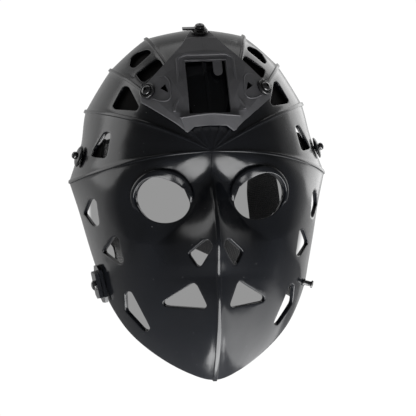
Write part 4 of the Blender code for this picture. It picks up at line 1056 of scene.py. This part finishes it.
def lathe(name, base, axis, profile, look, sides=64, socket=None, smooth_angle=40.0):
    """Surface of revolution: profile rows are distance along the axis and radius, closed on the axis or
    in a ring.
    socket = (radius, depth, sides) sinks a polygonal recess into the end face."""
    axis = unit(axis)
    helper = np.array([0.0, 0.0, 1.0]) if abs(axis[2]) < 0.9 else np.array([1.0, 0.0, 0.0])
    across = unit(np.cross(axis, helper))
    upward = np.cross(axis, across)
    turn = np.linspace(0, 2 * math.pi, sides, endpoint=False)
    profile = np.array(profile, float)
    ring_only = profile[0, 1] > 0
    radii = np.repeat(profile[:, 1][:, None], sides, axis=1)
    heights = np.repeat(profile[:, 0][:, None], sides, axis=1)
    if socket is not None:
        width, depth, corners = socket
        part = (turn + math.pi / corners) % (2 * math.pi / corners) - math.pi / corners
        flat = width * math.cos(math.pi / corners) / np.cos(part)
        top = profile[-1, 0]
        rings = [(flat + 0.00012, top), (flat, top - 0.00012), (flat * 0.98, top - depth),
                 (flat * 0.02, top - depth * 1.15)]
        radii = np.vstack([radii] + [r[None] for r, _ in rings])
        heights = np.vstack([heights] + [np.full((1, sides), h) for _, h in rings])
    points = base + axis * heights[..., None] + radii[..., None] * (
        np.cos(turn)[None, :, None] * across + np.sin(turn)[None, :, None] * upward)
    rows = len(radii)
    number = np.arange(rows * sides).reshape(rows, sides)
    step = np.roll(number, -1, axis=1)
    quads = []
    last = rows if ring_only and socket is None else rows - 1
    for r in range(last):
        n = (r + 1) % rows
        quads.append(np.stack([number[r], step[r], step[n], number[n]], 1))
    faces = [tuple(q) for q in np.vstack(quads)]
    if not (ring_only and socket is None):
        faces.append(tuple(number[0][::-1]))
        faces.append(tuple(number[-1]))
    return piece(name, points.reshape(-1, 3), faces, look, smooth_angle)


def round_steps(corners, radius, steps=4):
    """Profile with each inner corner replaced by a short arc of chords."""
    corners = np.array(corners, float)
    out = [corners[0]]
    for before, here, after in zip(corners[:-2], corners[1:-1], corners[2:]):
        cut = min(radius, 0.45 * np.linalg.norm(here - before), 0.45 * np.linalg.norm(after - here))
        start, end = here + unit(before - here) * cut, here + unit(after - here) * cut
        for f in np.linspace(0, 1, steps):
            out.append(start * (1 - f) ** 2 + here * 2 * f * (1 - f) + end * f * f)
    out.append(corners[-1])
    return np.array(out)


def screw_head(name, point, axis, seat, radius, tall, node, corners=6):
    """Button head: a domed profile on its seat, with a socket, and its shank through the wall."""
    dome = [(seat, SCREW_SHANK), (seat, radius - 0.0002), (seat + 0.12 * tall, radius)]
    for t in np.linspace(0.15, 0.92, 8):
        dome.append((seat + tall * (0.25 + 0.75 * math.sin(t * math.pi / 2)),
                     radius * math.cos(t * math.pi / 2) ** 0.62))
    profile = [(-WALL - SCREW_TAIL, 0.0004), (-WALL - SCREW_TAIL, SCREW_SHANK - 0.0002),
               (-WALL - SCREW_TAIL + 0.0003, SCREW_SHANK)]
    profile = [row for row in profile + dome if True]
    body = lathe(name, point, axis, profile, STEEL_FINISH, 72, (0.42 * radius, 0.55 * tall, corners))
    return stands_for(body, node)


def build_hardware():
    """Screws, washers, discs and stud: profiles turned about the axis of each fixing."""
    bore = SCREW_SHANK + SCREW_HOLE_GAP
    for label, side in SIDES:
        point, axis = shell_spot(side * SHROUD_SCREW_X, SHROUD_SCREW_Z)
        seat = EAR_SEAT + SEAT_GAP
        tall, rim_in = WASHER_HEIGHT, SCREW_HEAD + SEAT_GAP
        cup = round_steps([
            (seat + tall, bore), (seat, bore), (seat, WASHER_RADIUS - 0.0004),
            (seat + 0.25 * tall, WASHER_RADIUS),
            (seat + 1.25 * tall, WASHER_RADIUS), (seat + 1.5 * tall, WASHER_RADIUS - 0.0005),
            (seat + 1.45 * tall, rim_in + 0.0003), (seat + tall, rim_in), (seat + tall, bore)],
            0.00035)[:-1]
        stands_for(lathe("ring_washer_" + label, point, axis, cup, STEEL_FINISH, 72),
                   "shroud_washer_" + label)
        screw_head("ear_screw_" + label, point, axis, seat + tall + SEAT_GAP, SCREW_HEAD, SCREW_HEAD_HEIGHT,
                   "shroud_screw_" + label)

        point, axis = shell_spot(side * TEMPLE_X_SHARE * HALF_WIDTH, TEMPLE_Z)
        radius, tall, low = TEMPLE_DISC_RADIUS, TEMPLE_DISC_HEIGHT, TEMPLE_DISC_LIFT
        button = round_steps([
            (low + 0.5 * tall, bore), (low, bore), (low, 0.55 * radius), (low + 0.25 * tall, radius),
            (low + 0.50 * tall, radius), (low + 0.80 * tall, 0.82 * radius), (low + tall, 0.50 * radius),
            (low + tall, bore), (low + 0.5 * tall, bore)], 0.0006)[:-1]
        stands_for(lathe("temple_button_" + label, point, axis, button, SHELL_FINISH, 80),
                   "temple_disc_" + label)
        screw_head("temple_bolt_" + label, point, axis, low + tall + SEAT_GAP, TEMPLE_SCREW_HEAD,
                   TEMPLE_SCREW_HEIGHT,
                   "temple_screw_" + label)

    point, axis = shell_spot(0.0, CROWN_SCREW_Z)
    seat = CROWN_SEAT + SEAT_GAP
    tall, rim_in = WASHER_HEIGHT, SCREW_HEAD + SEAT_GAP
    cup = round_steps([
        (seat + tall, bore), (seat, bore), (seat, WASHER_RADIUS - 0.0004),
        (seat + 0.25 * tall, WASHER_RADIUS),
        (seat + 1.25 * tall, WASHER_RADIUS), (seat + 1.5 * tall, WASHER_RADIUS - 0.0005),
        (seat + 1.45 * tall, rim_in + 0.0003), (seat + tall, rim_in), (seat + tall, bore)], 0.00035)[:-1]
    stands_for(lathe("crown_ring", point, axis, cup, STEEL_FINISH, 72), "crown_washer")
    seat += 1.5 * WASHER_HEIGHT + SEAT_GAP
    screw_head("crown_bolt", point, axis, seat + TAB_THICK + SEAT_GAP, SCREW_HEAD, SCREW_HEAD_HEIGHT,
               "crown_screw")

    point, axis = rim_fix(1.0)
    low = SEAT_GAP
    spool = round_steps([
        (-WALL - SCREW_TAIL, 0.0), (-WALL - SCREW_TAIL, SCREW_SHANK), (low, SCREW_SHANK),
        (low, STUD_RADIUS),
        (low + STUD_FLANGE, STUD_RADIUS), (low + STUD_FLANGE, STUD_NECK),
        (low + STUD_LENGTH - STUD_FLANGE, STUD_NECK),
        (low + STUD_LENGTH - STUD_FLANGE, STUD_RADIUS), (low + STUD_LENGTH, STUD_RADIUS),
        (low + STUD_LENGTH, 0.0005)], 0.0003)
    stands_for(lathe("strap_stud", point, axis, spool[1:], STEEL_FINISH, 64, (0.0011, 0.0007, 6)),
               "jaw_stud")


# Harness

def woven_band(name, path, ups, width, thick, node):
    """Flat strap: a superellipse section of width by thick carried along the route, with slightly
    raised edges."""
    path, ups = np.asarray(path, float), np.broadcast_to(np.asarray(ups, float), np.shape(path))
    route = smooth_route(np.hstack([path, ups]), max(60, int(len(path) * 9)))
    path, ups = route[:, :3], route[:, 3:]
    tangent = unit(np.gradient(path, axis=0))
    ups = unit(ups - tangent * np.sum(ups * tangent, axis=1, keepdims=True))
    out = unit(np.cross(tangent, ups))
    turn = np.linspace(0, 2 * math.pi, 36, endpoint=False)
    c, s = np.cos(turn), np.sin(turn)
    across = np.sign(c) * np.abs(c) ** 0.35 * width / 2
    proud = np.sign(s) * np.abs(s) ** 0.5 * thick / 2 * (0.84 + 0.16 * np.abs(across / (width / 2)) ** 6)
    points = path[:, None] + ups[:, None] * across[None, :, None] + out[:, None] * proud[None, :, None]
    rows, sides = points.shape[:2]
    run = np.concatenate([[0.0], np.cumsum(np.linalg.norm(np.diff(path, axis=0), axis=1))])
    uvs = np.stack([np.repeat(run[:, None], sides, 1), np.repeat(across[None], rows, 0)], -1).reshape(-1, 2)
    number = np.arange(rows * sides).reshape(rows, sides)
    step = np.roll(number, -1, axis=1)
    quads = np.stack([number[:-1], step[:-1], step[1:], number[1:]], -1).reshape(-1, 4)
    faces = [tuple(q) for q in quads] + [tuple(number[0][::-1]), tuple(number[-1])]
    body = piece(name, points.reshape(-1, 3), faces, WEB_FINISH, 60.0, uvs)
    return stands_for(body, node)


def build_harness():
    """Woven bands: a flat section carried along the centre line of each strap."""
    point, _ = shell_spot(TEMPLE_X_SHARE * HALF_WIDTH, TEMPLE_Z)
    upper, ups = strap_round(point, point, 0.10, UPPER_REACH, UPPER_BACK_Z)
    woven_band("upper_webbing", upper, ups, WEB_WIDTH, WEB_THICK, "upper_strap")
    lower, ups = strap_round(rim_fix(1.0)[0], rim_fix(-1.0)[0], 0.09, LOWER_REACH, LOWER_BACK_Z)
    woven_band("lower_webbing", lower, ups, LOWER_WEB_WIDTH, WEB_THICK, "lower_strap")
    for label, side in SIDES:
        ends = []
        for line, width in ((upper, WEB_WIDTH), (lower, -LOWER_WEB_WIDTH)):
            heading = unit(np.gradient(line, axis=0) * np.array([1.0, 1.0, 0.0]))
            both = np.hstack([line, heading])[(line[:, 1] > SIDE_BEHIND_Y) & (line[:, 0] * side > 0)]
            both = both[np.argsort(both[:, 0] * side)]
            at = np.array([np.interp(SIDE_WEB_SHARE * MASK_WIDTH, both[:, 0] * side,
                                     both[:, k]) for k in range(6)])
            run = unit(at[3:])
            inward = np.array([run[1], -run[0], 0.0])
            inward = inward if inward[1] < 0 else -inward
            at = at[:3] + inward * (WEB_THICK + SIDE_INSIDE)
            ends.append((at + np.array([0, 0, 0.36 * width]), at - np.array([0, 0, 0.62 * width]), run))
        top, under_top, heading = ends[0]
        bottom, over_bottom, heading_low = ends[1]
        path = [top, under_top] + [under_top * (1 - f) + over_bottom * f for f in (0.12, 0.5,
                                                                                   0.88)] + [over_bottom,
                                                                                             bottom]
        square = np.array([np.sign(heading[0]), 0.0, 0.0])
        turn = [heading, heading, 0.7 * heading + 0.3 * square, square, 0.7 * heading_low + 0.3 * square,
                heading_low, heading_low]
        woven_band("side_webbing_" + label, path, turn, WEB_WIDTH, WEB_THICK, "side_strap_" + label)
    behind = WALL + CROWN_STRAP_BEHIND + CROWN_WEB_THICK / 2
    _, out = place_on_shell(0.0, CROWN_SCREW_Z)
    outs = np.linspace(out[0] - 0.07, 1.0, 6)
    rows = np.full_like(outs, float(CROWN))
    line = surface(rows, outs) - normal(rows, outs) * behind
    edge = line[-1]
    back = upper[len(upper) // 2]
    strap = smooth_route(list(line) + [
        (0, edge[1] + 0.018, edge[2] + CROWN_WEB_RISE), (0, 0.42 * UPPER_REACH, edge[2] + CROWN_WEB_RISE),
        (0, 0.75 * UPPER_REACH, 0.80 * edge[2]), (0, 0.955 * UPPER_REACH, 0.47 * edge[2]),
        (0, back[1], back[2] + WEB_WIDTH / 2 + CROWN_WEB_GAP)], 17)
    woven_band("crown_webbing", strap, (1.0, 0, 0), CROWN_WEB_WIDTH, CROWN_WEB_THICK, "crown_strap")


def build_pad():
    """Foam pad: two skins that follow the inside of the forehead to past its edge, thinned to a rounded
    edge."""
    slot = CROWN_WEB_WIDTH / 2 + PAD_SLOT
    screw_y = shell_spot(0.0, CROWN_SCREW_Z)[0][1]
    fine = np.linspace(0.40, 1.0, 400)
    spine = surface(np.full(400, CROWN), fine)
    front = float(np.interp(screw_y - 0.010, spine[:, 1], fine))
    outs = np.concatenate([np.linspace(0.40, front, 40), np.linspace(front, 1.0, 34)[1:], np.ones(8)])
    past = np.concatenate([np.zeros(73), np.linspace(0.0, 1.0, 9)[1:]]) * PAD_PAST_EDGE
    first, sides, middle_rows, split = ROW["rib_low"] - 0.30, 60, 10, 39
    near_crown = np.linspace(CROWN - 1.6, CROWN, 300)
    rows = np.empty((sides + middle_rows, len(outs)))
    for j, out in enumerate(outs):
        across = np.abs(surface(near_crown, np.full(300, out))[:, 0])
        turn = float(np.interp(slot, across[::-1], near_crown[::-1]))
        rows[:, j] = np.concatenate([np.linspace(first, turn, sides),
                                     np.linspace(turn, CROWN, middle_rows + 1)[1:]])
    grid_outs = np.broadcast_to(outs, rows.shape)
    base, facing = surface(rows, grid_outs), normal(rows, grid_outs)
    base = base + unit(surface(rows, grid_outs) - surface(rows, grid_outs - 0.05)) * past[:, None]
    ahead = np.maximum(np.abs(base[..., 0]) - slot, 0.0)
    short = np.maximum(screw_y - 0.010 - base[..., 1], 0.0)
    near = np.minimum((grid_outs - 0.40) / 0.035, (rows - first) / 0.12)
    near = np.minimum(near, np.where(past > 0, (PAD_PAST_EDGE - past) / 0.003, 1.0))
    near = np.minimum(near, np.hypot(ahead, short) / 0.003)
    plump = np.sqrt(1 - (1 - np.clip(near, 0, 1)) ** 2)
    middle = WALL + SEAT_GAP + 0.0003 + PAD_THICK / 2
    skins = []
    for sign in (1.0, -1.0):
        half = base - facing * (middle - sign * PAD_THICK / 2 * plump)[..., None]
        half[-1, :, 0] = 0.0
        skins.append(np.concatenate([half, half[-2::-1] * np.array([-1.0, 1.0, 1.0])]))
    count, deep = skins[0].shape[:2]
    number = np.arange(count * deep).reshape(count, deep)
    i, j = np.meshgrid(np.arange(count - 1), np.arange(deep - 1), indexing="ij")
    kept = ~((i >= sides - 1) & (i < count - sides) & (j >= split))
    quads = np.stack([number[:-1, :-1], number[1:, :-1], number[1:, 1:], number[:-1, 1:]], -1)[kept]
    used = {(a, b) for q in quads.tolist() for a, b in zip(q, q[1:] + q[:1])}
    rim_edges = [(a, b) for a, b in used if (b, a) not in used]
    under = count * deep
    faces = [tuple(q) for q in np.vstack([quads, quads[:, ::-1] + under])]
    faces += [(b, a, a + under, b + under) for a, b in rim_edges]
    points = np.vstack([s.reshape(-1, 3) for s in skins])
    seen = np.unique(np.concatenate([np.array(f) for f in faces]))
    order = np.full(len(points), -1)
    order[seen] = np.arange(len(seen))
    body = piece("brow_foam", points[seen], [tuple(order[list(f)]) for f in faces], FOAM_FINISH, 60.0)
    stands_for(body, "forehead_pad")


# Raised edges of the shroud

EAR_LIP = (
    # x and z of the curved lip round one ear's pocket
    (0.0285, 0.0472), (0.0236, 0.0477), (0.0213, 0.0446), (0.0210, 0.0394), (0.0214, 0.0337),
    (0.0234, 0.0313),
    (0.0289, 0.0316), (0.0318, 0.0335),
)
BADGE_LINE = ((-0.0104, 0.0644), (0.0094, 0.0642), (0.0028, 0.0715), (-0.0052, 0.0716))


def bead(name, path, radius, look, closed=False, sides=10):
    """Round bead: circle of the radius swept along a path, c(s) + r cos(t) across + r sin(t) up, with
    capped ends."""
    path = np.array(path, float)
    following = np.roll(path, -1, axis=0) - np.roll(path, 1, axis=0) if closed else np.gradient(path,
                                                                                                axis=0)
    tangent = unit(following)
    across = unit(np.cross(tangent, np.array([0.13, 1.0, 0.07])))
    upright = np.cross(across, tangent)
    turn = np.linspace(0, 2 * math.pi, sides, endpoint=False)
    circle = across[:, None] * np.cos(turn)[None, :, None] + upright[:, None] * np.sin(turn)[None, :, None]
    points = (path[:, None] + radius * circle).reshape(-1, 3)
    count = len(path)
    faces = []
    for i in range(count if closed else count - 1):
        for k in range(sides):
            a, b = i * sides + k, i * sides + (k + 1) % sides
            c, d = (i + 1) % count * sides + (k + 1) % sides, (i + 1) % count * sides + k
            faces.append((a, b, c, d))
    if not closed:
        faces += [tuple(range(sides)), tuple(range((count - 1) * sides, count * sides))[::-1]]
    body = piece(name, points, faces, look, 60.0)
    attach(body, "root")
    return body


def bent_line(corners, radius, closed=False, step=0.0008):
    """Corners joined by straight runs, each corner rounded by a quadratic curve that starts radius
    before it."""
    corners = np.array(corners, float)
    count = len(corners)
    line = []
    for i, corner in enumerate(corners):
        before = corners[i - 1] if (closed or i) else None
        after = corners[(i + 1) % count] if (closed or i < count - 1) else None
        if before is None or after is None:
            line.append(corner)
            continue
        near = [corner + unit(other - corner) * min(radius,
                                                    0.45 * np.linalg.norm(other - corner))
                                                    for other in (before, after)]
        for t in np.linspace(0, 1, 7):
            line.append(near[0] * (1 - t) ** 2 + 2 * corner * t * (1 - t) + near[1] * t ** 2)
    line = np.array(line + ([line[0]] if closed else []))
    run = np.concatenate([[0.0], np.cumsum(np.linalg.norm(np.diff(line, axis=0), axis=1))])
    want = np.linspace(0, run[-1], max(int(run[-1] / step), 8) + 1)
    if closed:
        want = want[:-1]
    return np.stack([np.interp(want, run, line[:, k]) for k in range(line.shape[1])], axis=1)


def build_shroud_edges():
    """Beads along the frame, the window, the bar and the pocket shelves, and a bare badge outline above
    the window."""
    nasion = -HEAD_CENTRE_BACK
    start = nasion + FRAME_FRONT_Y - WINDOW_BOTTOM_Z * FRAME_SLOPE

    def on_frame(line, sunk):
        """Points of an x, z line on the sloping front of the frame."""
        return [(x, start + FRAME_SLOPE * z + sunk, z) for x, z in line]

    rail_x = WINDOW_HALF + RAIL_WIDTH
    half = [(rail_x + RAIL_FLARE - 0.0010, WINDOW_BOTTOM_Z + 0.0018),
            (rail_x + RAIL_FLARE - 0.0012, WINDOW_BOTTOM_Z + 0.0046),
            (rail_x + 0.25 * RAIL_FLARE - 0.0010, WINDOW_BOTTOM_Z + 0.0100),
            (rail_x - 0.0011, WINDOW_TOP_Z + 0.35 * FRAME_TOP),
            (rail_x - 0.0050, WINDOW_TOP_Z + FRAME_TOP - 0.0012)]
    outline = half + [(-x, z) for x, z in half[::-1]]
    bead("shroud_frame_bead", bent_line(on_frame(outline, 0.0002), 0.0016), 0.00105, SHROUD_FINISH)
    inner = [(side * (WINDOW_HALF + 0.0006), z) for side, z in (
        (1, WINDOW_BOTTOM_Z + 0.0020), (1, WINDOW_TOP_Z + 0.0006), (-1, WINDOW_TOP_Z + 0.0006),
        (-1, WINDOW_BOTTOM_Z + 0.0020))]
    bead("shroud_window_bead", bent_line(on_frame(inner, 0.0002), 0.0008), 0.00055, SHROUD_FINISH)
    bar = [(-SHROUD_FOOT_X - 0.0040, WINDOW_BOTTOM_Z - 0.0026), (-0.0095, WINDOW_BOTTOM_Z - 0.0013),
           (0.0, WINDOW_BOTTOM_Z - 0.0004), (0.0095, WINDOW_BOTTOM_Z - 0.0013),
           (SHROUD_FOOT_X + 0.0040, WINDOW_BOTTOM_Z - 0.0026)]
    bead("shroud_bar_bead",
         bent_line([(x, nasion - BAR_PROUD + 0.12 * z + 0.0002, z) for x, z in bar], 0.004), 0.0005,
         SHROUD_FINISH)

    def on_plate(line, radius, sunk, closed=False):
        """Points of an x, z line laid on the front of the plate."""
        flat = bent_line(line, radius, closed)
        spot, out = on_shell(np.abs(flat[:, 0]), flat[:, 1])
        mirror = np.stack([np.sign(flat[:, 0]), np.ones(len(flat)), np.ones(len(flat))], axis=1)
        return (spot + out * (SHROUD_CLEARANCE + SHROUD_PLATE - sunk)) * mirror

    for name, side in (("shroud_ear_lip_left", -1), ("shroud_ear_lip_right", 1)):
        bead(name, on_plate([(side * x, z) for x, z in EAR_LIP], 0.0030, 0.0001), 0.00060, SHROUD_FINISH)
    bead("shroud_badge_line", on_plate(BADGE_LINE, 0.0009, 0.0001, True), 0.00032, SHROUD_FINISH,
         closed=True)


# Studio

def build_studio():
    """Pale floor, a surround that is dark behind the camera, soft lamps at the sides, above and low in
    front.

    The camera sees the floor and surround white, with a grey oval of painted shadow behind the mask as seen
    from the front; the light on the mask comes from the surround and the lamps.
    """
    floor = bpy.data.meshes.new("studio_floor")
    size, level = FLOOR_HALF_SIZE, FLOOR_LEVEL
    floor.from_pydata([(-size, -size, level), (size, -size, level), (size, size, level),
                       (-size, size, level)], [], [(0, 1, 2, 3)])
    ground = bpy.data.objects.new("studio_floor", floor)
    bpy.context.scene.collection.objects.link(ground)
    look = bpy.data.materials.new("pale_floor")
    look.use_nodes = True
    tree = look.node_tree
    shader = tree.nodes["Principled BSDF"]
    shader.inputs["Base Color"].default_value = (0.60, 0.60, 0.60, 1.0)
    shader.inputs["Roughness"].default_value = 0.9
    shader.inputs["Emission Color"].default_value = (1.0, 1.0, 1.0, 1.0)
    path = tree.nodes.new("ShaderNodeLightPath")
    tree.links.new(sums(tree, "MULTIPLY", path.outputs["Is Camera Ray"], FLOOR_WHITE),
                   shader.inputs["Emission Strength"])
    floor.materials.append(look)

    world = bpy.data.worlds.new("studio_surround")
    bpy.context.scene.world = world
    world.use_nodes = True
    tree = world.node_tree
    light = tree.nodes["Background"]
    place = tree.nodes.new("ShaderNodeTexCoord")
    split = tree.nodes.new("ShaderNodeSeparateXYZ")
    tree.links.new(place.outputs["Generated"], split.inputs["Vector"])
    behind = ramp(tree, split.outputs["Y"], *SURROUND_FADE, SURROUND_DARK, SURROUND_BRIGHT)
    upward = ramp(tree, split.outputs["Z"], *SURROUND_DIM, 1.0, SURROUND_TOP)
    behind = sums(tree, "MULTIPLY", behind, upward)
    path = tree.nodes.new("ShaderNodeLightPath")
    # Painted shadow: a grey oval in the surround, seen by camera rays only, behind the mask along the front
    # camera's line of sight
    spread = []
    yaw, roll = CAMERA_YAW, CAMERA_ROLL
    right = (math.cos(roll) * math.cos(yaw), math.cos(roll) * math.sin(yaw), math.sin(roll))
    upright = (-math.sin(roll) * math.cos(yaw), -math.sin(roll) * math.sin(yaw), math.cos(roll))
    for line, middle, size in zip((right, upright), PAINTED_SHADOW_MIDDLE, PAINTED_SHADOW_SIZE):
        dot = tree.nodes.new("ShaderNodeVectorMath")
        dot.operation = "DOT_PRODUCT"
        tree.links.new(place.outputs["Generated"], dot.inputs[0])
        dot.inputs[1].default_value = line
        spread.append(sums(tree, "POWER",
                           sums(tree, "DIVIDE", sums(tree, "SUBTRACT", dot.outputs["Value"], middle), size),
                           2.0))
    painted_shade = ramp(tree, sums(tree, "ADD", spread[0], spread[1]), 0.90, 0.985, PAINTED_SHADOW_LEVEL, 1.03)
    ahead = sums(tree, "LESS_THAN", split.outputs["Y"], 0.0)
    painted_shade = sums(tree, "MAXIMUM", painted_shade, ahead)
    seen = sums(tree, "MULTIPLY", path.outputs["Is Camera Ray"], painted_shade)
    unseen = sums(tree, "MULTIPLY", sums(tree, "SUBTRACT", 1.0, path.outputs["Is Camera Ray"]), behind)
    level = sums(tree, "ADD", seen, unseen)
    tree.links.new(level, light.inputs["Strength"])
    light.inputs["Color"].default_value = (1.0, 1.0, 1.0, 1.0)

    for name, spot, aim, wide, tall, power in LAMPS:
        lamp = bpy.data.lights.new(name, "AREA")
        lamp.shape = "RECTANGLE"
        lamp.size, lamp.size_y, lamp.energy = wide, tall, power
        body = bpy.data.objects.new(name, lamp)
        bpy.context.scene.collection.objects.link(body)
        back = unit(np.array(spot, float) - np.array(aim, float))
        across = unit(np.cross((0.0, 0.0, 1.0) if abs(back[2]) < 0.95 else (0.0, 1.0, 0.0), back))
        turn = np.eye(4)
        turn[:3, 0], turn[:3, 1], turn[:3, 2], turn[:3, 3] = across, np.cross(back, across), back, spot
        body.matrix_world = Matrix(turn.tolist())


FLOOR_HALF_SIZE = 1.5
FLOOR_LEVEL = -0.42
FLOOR_WHITE = 0.92
SURROUND_FADE = (0.15, 0.70)
SURROUND_DARK = 0.12
SURROUND_BRIGHT = 0.65
SURROUND_DIM = (0.20, 0.90)
SURROUND_TOP = 0.25
# Painted shadow behind the mask: middle and size of the grey oval along the camera's right and up, and its
# grey level
PAINTED_SHADOW_MIDDLE = (-0.0070, 0.0018)
PAINTED_SHADOW_SIZE = (0.0645, 0.0879)
PAINTED_SHADOW_LEVEL = 0.30
LAMPS = (
    # name, place, aim, width, height, watts
    ("left_softbox", (-1.35, 0.66, 0.62), (0.0, -0.05, 0.0), 0.80, 1.2, 3.4),
    ("right_softbox", (0.95, 1.15, 0.50), (0.0, -0.05, 0.0), 0.90, 1.3, 4.0),
    ("top_softbox", (0.0, 0.55, 1.5), (0.0, -0.05, 0.0), 1.8, 0.9, 4.0),
    ("low_softbox", (0.06, -0.32, -0.415), (0.06, -0.32, 1.0), 0.46, 0.70, 6.2),
    ("low_side_softbox", (0.50, 0.20, -0.415), (0.50, 0.20, 1.0), 0.46, 0.70, 1.4),
)


build_shell_skin()
build_hardware()
build_harness()
build_pad()
build_shroud_edges()
for node, look in (("shroud", SHROUD_FINISH), ("crown_tab", STEEL_FINISH), ("jaw_clip_base", SHELL_FINISH),
                   ("jaw_clip_plate", SHELL_FINISH), ("jaw_clip_screw", STEEL_FINISH)):
    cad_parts[node].material_slots[0].material = look
build_studio()

bpy.context.scene.view_settings.view_transform = "Standard"
